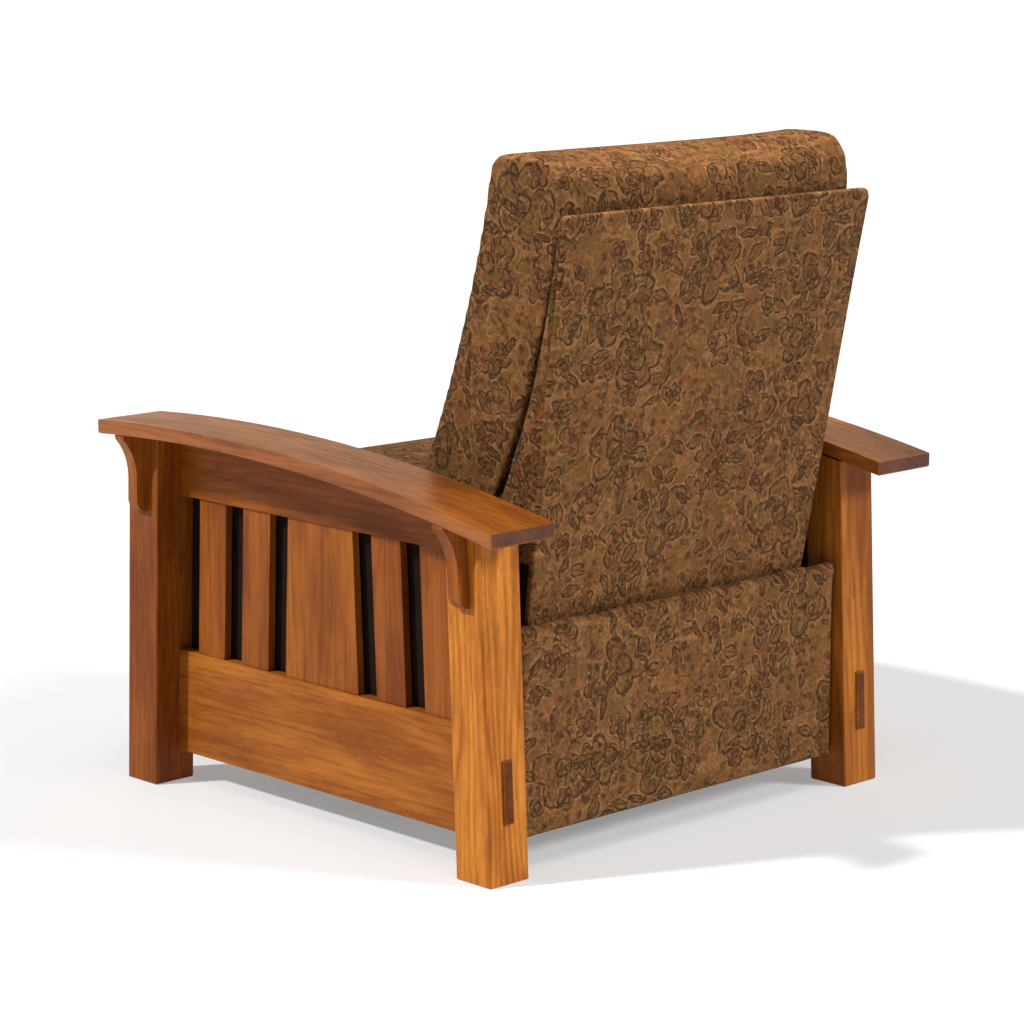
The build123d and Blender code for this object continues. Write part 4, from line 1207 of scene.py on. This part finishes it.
@dataclass
class ReclinerShell:
    """Outside back and the padded wings at its two sides.

    Attributes:
        lean: lean of the back from upright, in degrees.
        bottom_half: half the width at the bottom of the outside back.
        thickness: of the outside back, square to its face.
        edge: radius of its rolled upper and lower edges.
        side_edge: radius of its edges at the wings.
        corner: radius of its two upper corners.
        crown: how far its middle stands proud.
        crown_drop: share of the height by which the crown is moved down.
        uneven: its unevenness.
        cap: how far its top edge is padded forward, towards the cushion.
        cap_fade: how far down the padding of the top edge reaches.
        seam_edge: radius of the wing's edge at the cushion.
        foot_edge: radius of the wing's lower edge.
        rear_edge: radius of the wing's edge at the outside back.
        rear_dip: share of its thickness that the wing loses there.
        crease: gap between the wing and the cushion.
        crease_stop: least depth of the wing that the crease leaves.
        wing_inner: inner face of the wing.
        wing_puff: how far the wing's middle stands proud.
        wing_uneven: the wings' unevenness.
        wing_inset: how far the wing stays inside its solid's top and bottom.
        wing_spacing: distance between the points of the wing's outline.
        wing_cloth: moves the pattern on the wings.
        back_across: even steps across the outside back, and the share crowded at each side.
        back_up: the same from its bottom to its top.
        wing_across: the same from the cushion to the rear of a wing.
        wing_up: the same from its bottom to its top.
        fill: how full the padding is.
        low: lowest corner of the outside back's solid.
        high: its highest corner.
    """

    lean: float = 10.0
    bottom_half: float = 0.2985
    thickness: float = 0.011
    edge: float = 0.010
    side_edge: float = 0.003
    corner: float = 0.011
    crown: float = 0.003
    crown_drop: float = 0.06
    uneven: Rumple = Rumple(7.0, 0.0022, 3.0)
    cap: float = 0.011
    cap_fade: float = 0.035
    seam_edge: float = 0.010
    foot_edge: float = 0.004
    rear_edge: float = 0.003
    rear_dip: float = 0.06
    crease: float = 0.0035
    crease_stop: float = 0.002
    wing_inner: float = 0.2999
    wing_puff: float = 0.0025
    wing_uneven: Tuple[Rumple, Rumple] = (Rumple(9.0, 0.0016, 6.0), Rumple(9.0, 0.0016, 4.0))
    wing_inset: float = 0.0004
    wing_spacing: float = 0.002
    wing_cloth: float = 0.9
    back_across: Grid = (72, 0.02)
    back_up: Grid = (76, 0.02)
    wing_across: Grid = (22, 0.08)
    wing_up: Grid = (84, 0.02)
    fill: float = 0.7
    low: Vector = field(default_factory=lambda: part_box("outside_back")[0])
    high: Vector = field(default_factory=lambda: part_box("outside_back")[1])

    def half_width(self, z: float) -> float:
        """Half the shell's width at a height."""
        share = (z - self.low.z) / (self.high.z - self.low.z)
        return self.bottom_half + (self.high.x - self.bottom_half) * share

    def back_point(self, a: float, b: float, side: float) -> Vector:
        """Point of the outside back.

        Args:
            a: share across, from the right.
            b: share up.
            side: 1 for the rear face, -1 for the front face.

        Returns:
            The point.
        """
        lean = math.radians(self.lean)
        z = self.low.z + (self.high.z - self.low.z) * b
        half = self.half_width(z)
        x = half * (2 * a - 1)
        aside, below = rounded(half - abs(x), self.high.z - z, self.corner)
        x = math.copysign(half - aside, x)
        z = self.high.z - below
        above = z - self.low.z
        near = min(aside, above, below)
        lift = min(roll(aside, self.side_edge), roll(above, self.edge), roll(below, self.edge))
        if max(aside, below) < self.corner:
            near = self.corner - math.hypot(self.corner - aside, self.corner - below)
            lift = roll(near, self.edge)
        padding = self.cap * max(0.0, 1.0 - below / self.cap_fade) ** 0.5 if side < 0 else 0.0
        lift *= self.thickness / 2 + padding
        rear = self.high.y - (self.high.z - z) * math.tan(lean)
        spot = Vector((x, rear - self.thickness / 2 / math.cos(lean), z))
        if side > 0:
            bow = math.sin(math.pi * a) * math.sin(math.pi * min(1.0, b + self.crown_drop))
            lift += self.crown * bow * roll(near, self.edge * 5)
            lift += self.uneven.at(spot) * roll(near, self.edge * 3)
        return spot + Vector((0.0, math.cos(lean), -math.sin(lean))) * lift * side

    def outside_back(self) -> bpy.types.Object:
        """Builds the outside back as one flat padded panel with soft edges."""
        across, up = steps(*self.back_across), steps(*self.back_up)
        piece = quilt("outside_back_panel", self.back_point, across, up)
        slope = 1 / math.cos(math.radians(self.lean))
        cloth_uv(piece, lambda point, normal: (point.x, point.z * slope))
        return piece

    def wing(self, node: str, name: str, sign: float) -> bpy.types.Object:
        """Builds a wing, the wedge between the cushion and the outside back.

        Args:
            node: the wing's node.
            name: the piece's name.
            sign: 1 for the left wing, -1 for the right.

        Returns:
            The piece.
        """
        low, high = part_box(node)
        outline = Rim(node, -sign, self.wing_spacing)
        uneven = self.wing_uneven[0 if sign > 0 else 1]
        up = steps(*self.wing_up)
        heights = {b: low.z + self.wing_inset + (high.z - low.z - 2 * self.wing_inset) * b for b in up}
        spans = {b: outline.span(heights[b]) for b in up}

        def skin(a: float, b: float, side: float) -> Vector:
            """Point of the wing.

            Args:
                a: share of the depth, from the cushion to the rear.
                b: share up.
                side: 1 for the outer face, -1 for the inner face.

            Returns:
                The point.
            """
            z = heights[b]
            front, back = spans[b]
            front = min(front + self.crease, back - self.crease_stop)
            y = front + (back - front) * a
            x = self.wing_inner
            if side > 0:
                near = min(roll(y - front, self.seam_edge), roll(high.z - z, self.seam_edge),
                           roll(z - low.z, self.foot_edge),
                           1 - self.rear_dip + self.rear_dip * roll(back - y, self.rear_edge))
                outside = self.half_width(z)
                puff = self.wing_puff * math.sin(math.pi * min(1.0, a))
                puff += uneven.at(Vector((outside, y, z)))
                x += (outside - self.wing_inner + puff) * near
            return Vector((x * sign, y, z))

        piece = quilt(name, skin, steps(*self.wing_across), up)
        cloth_uv(piece, lambda point, normal: (point.y * -sign + self.wing_cloth, point.z))
        return piece

    def build(self) -> None:
        """Builds the shell's three covers."""
        # The outside back's upward faces, its top edge above all, get the full painted highlight.
        upholster(self.outside_back(), "outside_back", "back", Tapestry(painted_top_light=1.0), self.fill)
        for side, sign in (("left", 1.0), ("right", -1.0)):
            node = "back_wing_" + side
            wing = self.wing(node, "wing_cover_" + side, sign)
            upholster(wing, node, "back", Tapestry(), self.fill)


@dataclass
class Cushion:
    """Boxed cushion that the cloth simulation swells.

    Attributes:
        node: the CAD node that it replaces.
        name: its name.
        body: the body that it rides on.
        hold_edge: how near its seams a point is held, in metres.
        rest_low: points below this height are held.
        swell: settings of the simulation.
        shift: moves the pattern on the cloth.
        corners: axis, direction and radius of the edges whose corners are round.
        crown: how far the middle of the top stands up.
        ears: how far the left and right ends of the top stand up.
        fade: how far down from the top the crown and the ears reach.
        roll: radius of the roll between its top and its rear face.
        slope: how far the rear face leans back for each metre of height.
        painted_top_light: how strongly its upward faces are painted lighter, a painted highlight for the
            light from above, from 0 to 1.
        spacing: distance between the points of its outline.
        boxing: how far a face looks sideways, from 0 to 1, where the cloth of the side starts.
        side_cloth: moves the pattern on the sides.
        fill: how full the padding is.
        rim: outline of its solid's side.
        low: lowest corner of its solid.
        high: its highest corner.
    """

    node: str
    name: str
    body: str
    hold_edge: float = 0.010
    rest_low: float = 0.0
    swell: Inflate = field(default_factory=Inflate)
    shift: float = 0.0
    corners: Tuple[Tuple[int, float, float], ...] = ()
    crown: float = 0.0
    ears: Pair = (0.0, 0.0)
    fade: float = 0.10
    roll: float = 0.0
    slope: float = 0.0
    painted_top_light: float = 0.0
    spacing: float = 0.004
    boxing: float = 0.6
    side_cloth: float = 2.0
    fill: float = 0.65

    def __post_init__(self) -> None:
        """Measures the solid."""
        self.rim = Rim(self.node, 1.0, self.spacing)
        self.low, self.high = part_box(self.node)

    def hold(self, point: Vector) -> float:
        """Holds the seams and the face that the cushion rests on.

        Args:
            point: a point of the form.

        Returns:
            1 where it is held, 0 where it is free.
        """
        if point.z < self.rest_low:
            return 1.0
        from_side = abs(self.rim.half - self.swell.inset - abs(point.x))
        from_rim = max(0.0, self.rim.nearest(point)[0] - self.swell.inset)
        return 1.0 if max(from_side, from_rim) < self.hold_edge else 0.0

    def form(self, point: Vector) -> Vector:
        """Rounds the corners that the cover pulls in, and lifts the top.

        Args:
            point: a point of the form.

        Returns:
            Its new place.
        """
        low, high, half = self.low, self.high, self.rim.half
        if self.roll:
            rear = high.y - (high.z - point.z) * self.slope
            behind, below = rounded(rear - point.y, high.z - point.z, self.roll)
            point.z = high.z - below
            point.y = high.y - below * self.slope - behind
        for axis, side, radius in self.corners:
            limit = high[axis] if side > 0 else -low[axis]
            aside, below = rounded(half - abs(point.x), limit - point[axis] * side, radius)
            point.x = math.copysign(half - aside, point.x)
            point[axis] = (limit - below) * side
        share = min(1.0, abs(point.x) / half)
        high_up = min(1.0, max(0.0, (point.z - high.z) / self.fade + 1.0))
        ear = self.ears[0] if point.x > 0 else self.ears[1]
        lift = self.crown * (1 - share ** 2) + ear * share ** 3
        point.z += lift * high_up ** 2 * (3 - 2 * high_up)
        return point

    def unroll(self, point: Vector, normal: Vector) -> Pair:
        """Lays the side faces flat and wraps the rest round the outline.

        Args:
            point: a point of the cushion.
            normal: where its face looks.

        Returns:
            The place on the cloth.
        """
        if abs(normal.x) > self.boxing:
            return point.y * (1 if normal.x > 0 else -1) + self.side_cloth, point.z
        return point.x, self.rim.nearest(point)[1]

    def build(self) -> None:
        """Builds the cushion."""
        piece = add_piece(self.name, welded(self.node))
        self.swell.run(piece, self.hold, self.form)
        piece.modifiers.new("finer", "SUBSURF").levels = 1
        settle(piece)
        smooth_faces(piece)
        cloth_uv(piece, self.unroll)
        upholster(piece, self.node, self.body, Tapestry(self.shift, self.painted_top_light), self.fill)


@dataclass
class RearPanel:
    """Padded cover of the panel between the rear legs.

    Attributes:
        edge: radius of its rolled edges.
        crown: how far its middle stands proud.
        uneven: its unevenness.
        rise: how far its top edge stands over the solid.
        ripple: unevenness of its top edge.
        ear: how far its top corners stand up.
        ear_width: how far from the corners the ears reach.
        lip: height of the roll along its top edge.
        lip_drop: how far below the top the roll is highest.
        lip_width: how far the roll reaches up and down.
        lip_waves: waves of the roll for each metre.
        cloth: moves the pattern on it.
        cloth_stretch: how much the pattern is pressed together upwards.
        across: even steps across it, and the share crowded at each side.
        up: the same from its bottom to its top.
        fill: how full the padding is.
        low: lowest corner of its solid.
        high: its highest corner.
    """

    edge: float = 0.010
    crown: float = 0.004
    uneven: Rumple = Rumple(8.0, 0.0022, 7.0)
    rise: float = 0.005
    ripple: Rumple = Rumple(14.0, 0.0035, 2.0)
    ear: float = 0.003
    ear_width: float = 0.03
    lip: float = 0.003
    lip_drop: float = 0.011
    lip_width: float = 0.008
    lip_waves: float = 16.0
    cloth: Pair = (0.31, 0.17)
    cloth_stretch: float = 1.02
    across: Grid = (84, 0.02)
    up: Grid = (40, 0.045)
    fill: float = 0.7
    low: Vector = field(default_factory=lambda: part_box("rear_panel_pad")[0])
    high: Vector = field(default_factory=lambda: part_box("rear_panel_pad")[1])

    def skin(self, a: float, b: float, side: float) -> Vector:
        """Point of the cover.

        Args:
            a: share across, from the right.
            b: share up.
            side: 1 for the rear face, -1 for the front face.

        Returns:
            The point.
        """
        wide, deep, tall = (top - bottom for bottom, top in zip(self.low, self.high))
        x = self.low.x + wide * a
        z = self.low.z + tall * b + (self.rise + self.ripple.at(Vector((x, 0.0, 0.0)))) * b ** 6
        z += self.ear * math.exp(-min(a, 1 - a) * wide / self.ear_width) * b ** 6
        y = self.low.y
        if side > 0:
            rolled = roll(min(wide * a, wide * (1 - a), tall * b, tall * (1 - b)), self.edge)
            y += (deep - self.crown * 0.5) * rolled
            bumps = self.uneven.at(Vector((x, y, z))) * rolled
            y += self.crown * 0.5 * math.sin(math.pi * a) * math.sin(math.pi * b) + bumps
            bulge = math.exp(-((tall * (1 - b) - self.lip_drop) / self.lip_width) ** 2)
            y += self.lip * bulge * (1 + 0.5 * noise.noise(Vector((x * self.lip_waves, 3.0, 0.0))))
        return Vector((x, y, z))

    def build(self) -> None:
        """Builds the cover."""
        piece = quilt("rear_panel_cover", self.skin, steps(*self.across), steps(*self.up))
        aside, above = self.cloth
        cloth_uv(piece, lambda point, normal: (point.x + aside, point.z * self.cloth_stretch + above))
        upholster(piece, "rear_panel_pad", "frame", Tapestry(), self.fill)


@dataclass(frozen=True)
class Lamp:
    """Broad far light.

    Attributes:
        name: its name.
        source: direction from the chair towards it.
        strength: its strength.
        spread: its angular size, in degrees.
        colour: its colour.
    """

    name: str
    source: Triple
    strength: float
    spread: float
    colour: Triple = (1.0, 1.0, 1.0)

    def hang(self) -> None:
        """Puts it into the scene."""
        data = bpy.data.lights.new(self.name, "SUN")
        data.energy = self.strength
        data.angle = math.radians(self.spread)
        data.color = self.colour
        lamp = add_object(self.name, data)
        lamp.rotation_euler = Vector(self.source).to_track_quat("Z", "Y").to_euler()


@dataclass
class Studio:
    """Floor, light and camera.

    Attributes:
        place: the camera's place.
        towards: its line of sight.
        up: its upward direction.
        sensor: width of its sensor, in millimetres.
        lens: its focal length, in millimetres.
        reach: furthest that it sees.
        floor_radius: radius of the floor.
        floor_sides: corners of the floor's circle.
        floor_gap: gap between the feet and the floor.
        fill: strength of the even light from all round.
        lamps: the lights.
    """

    place: Triple = (3.44664, 3.57767, 1.37808)
    towards: Triple = (-0.6814133, -0.7077705, -0.1863782)
    up: Triple = (-0.1304083, -0.1331650, 0.9824768)
    sensor: float = 36.0
    lens: float = 113.27
    reach: float = 200.0
    floor_radius: float = 60.0
    floor_sides: int = 96
    floor_gap: float = 0.0005
    fill: float = 0.10
    lamps: Tuple[Lamp, ...] = (
        Lamp("side_light", (0.69, -0.36, 0.70), 3.2, 4.0),
        Lamp("rear_light", (-0.50, 0.78, 0.50), 2.6, 14.0),
        Lamp("top_light", (0.15, 0.30, 0.94), 0.85, 35.0),
        Lamp("front_light", (-0.66, -0.70, 0.28), 0.35, 40.0, (1.0, 0.80, 0.58)),
    )

    def camera(self) -> None:
        """Sets the camera at the photograph's viewing angle."""
        data = bpy.data.cameras.new("camera")
        data.sensor_width = self.sensor
        data.sensor_fit = "HORIZONTAL"
        data.lens = self.lens
        data.clip_end = self.reach
        camera = add_object("camera", data)
        ahead = Vector(self.towards).normalized()
        side = ahead.cross(Vector(self.up)).normalized()
        turn = Matrix((side, side.cross(ahead), -ahead)).transposed()
        camera.matrix_world = Matrix.Translation(Vector(self.place)) @ turn.to_4x4()
        bpy.context.scene.camera = camera

    def floor(self) -> None:
        """Lays a plain pale floor."""
        shape = bmesh.new()
        bmesh.ops.create_circle(shape, cap_ends=True, radius=self.floor_radius, segments=self.floor_sides)
        floor = add_piece("floor", shape)
        floor.location.z = -self.floor_gap
        wear(floor, LightTable())
        floor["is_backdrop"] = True

    def world(self) -> None:
        """Lights the chair evenly from all round, against a white background."""
        world = bpy.data.worlds.new("studio")
        world.use_nodes = True
        tree = world.node_tree
        sky = tree.nodes["Background"]
        sky.inputs["Color"].default_value = (1.0, 1.0, 1.0, 1.0)
        rays = tree.nodes.new("ShaderNodeLightPath")
        strength = tree.nodes.new("ShaderNodeMapRange")
        strength.inputs["To Min"].default_value = self.fill
        strength.inputs["To Max"].default_value = 1.0
        tree.links.new(rays.outputs["Is Camera Ray"], strength.inputs["Value"])
        tree.links.new(strength.outputs[0], sky.inputs["Strength"])
        bpy.context.scene.world = world

    def build(self) -> None:
        """Sets up floor, world, lights and camera."""
        bpy.context.scene.view_settings.view_transform = "Standard"
        self.floor()
        self.world()
        for lamp in self.lamps:
            lamp.hang()
        self.camera()
        LOG.info("set up the studio")


def plain(box: Sequence[Vector]) -> List[List[float]]:
    """A box's two corners as plain lists."""
    return [[float(value) for value in corner] for corner in box]


def write_sizes() -> None:
    """Gathers the CAD's box and the dressed model's box as plain lists, and keeps neither."""
    {"cad": plain(CAD_BOX), "visual": plain(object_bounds())}


def main() -> None:
    """Builds the chair's looks."""
    logging.basicConfig(level=logging.INFO, format="%(message)s")
    WoodFrame().build()
    HiddenFrame().build()
    Linkage().build()
    ReclinerShell().build()
    up, ahead = Axis.UPRIGHT.value, Axis.FRONT_TO_REAR.value
    # The back cushion's rounded top gets a painted highlight.
    Cushion("back_cushion", "back_cushion_cover", "back", corners=((up, 1.0, 0.018),), ears=(0.005, 0.012),
            roll=0.055, slope=math.tan(math.radians(ReclinerShell.lean)), painted_top_light=0.9).build()
    Cushion("seat_cushion", "seat_cushion_cover", "seat", rest_low=0.40, shift=3.0,
            corners=((ahead, -1.0, 0.040),), crown=0.010, ears=(0.007, 0.007), fade=0.05).build()
    Cushion("footrest_pad", "footrest_cover", "footrest", swell=Inflate(cap=0.016),
            corners=((up, 1.0, 0.025), (up, -1.0, 0.025))).build()
    RearPanel().build()
    Studio().build()
    write_sizes()


if __name__ == "__main__":
    main()
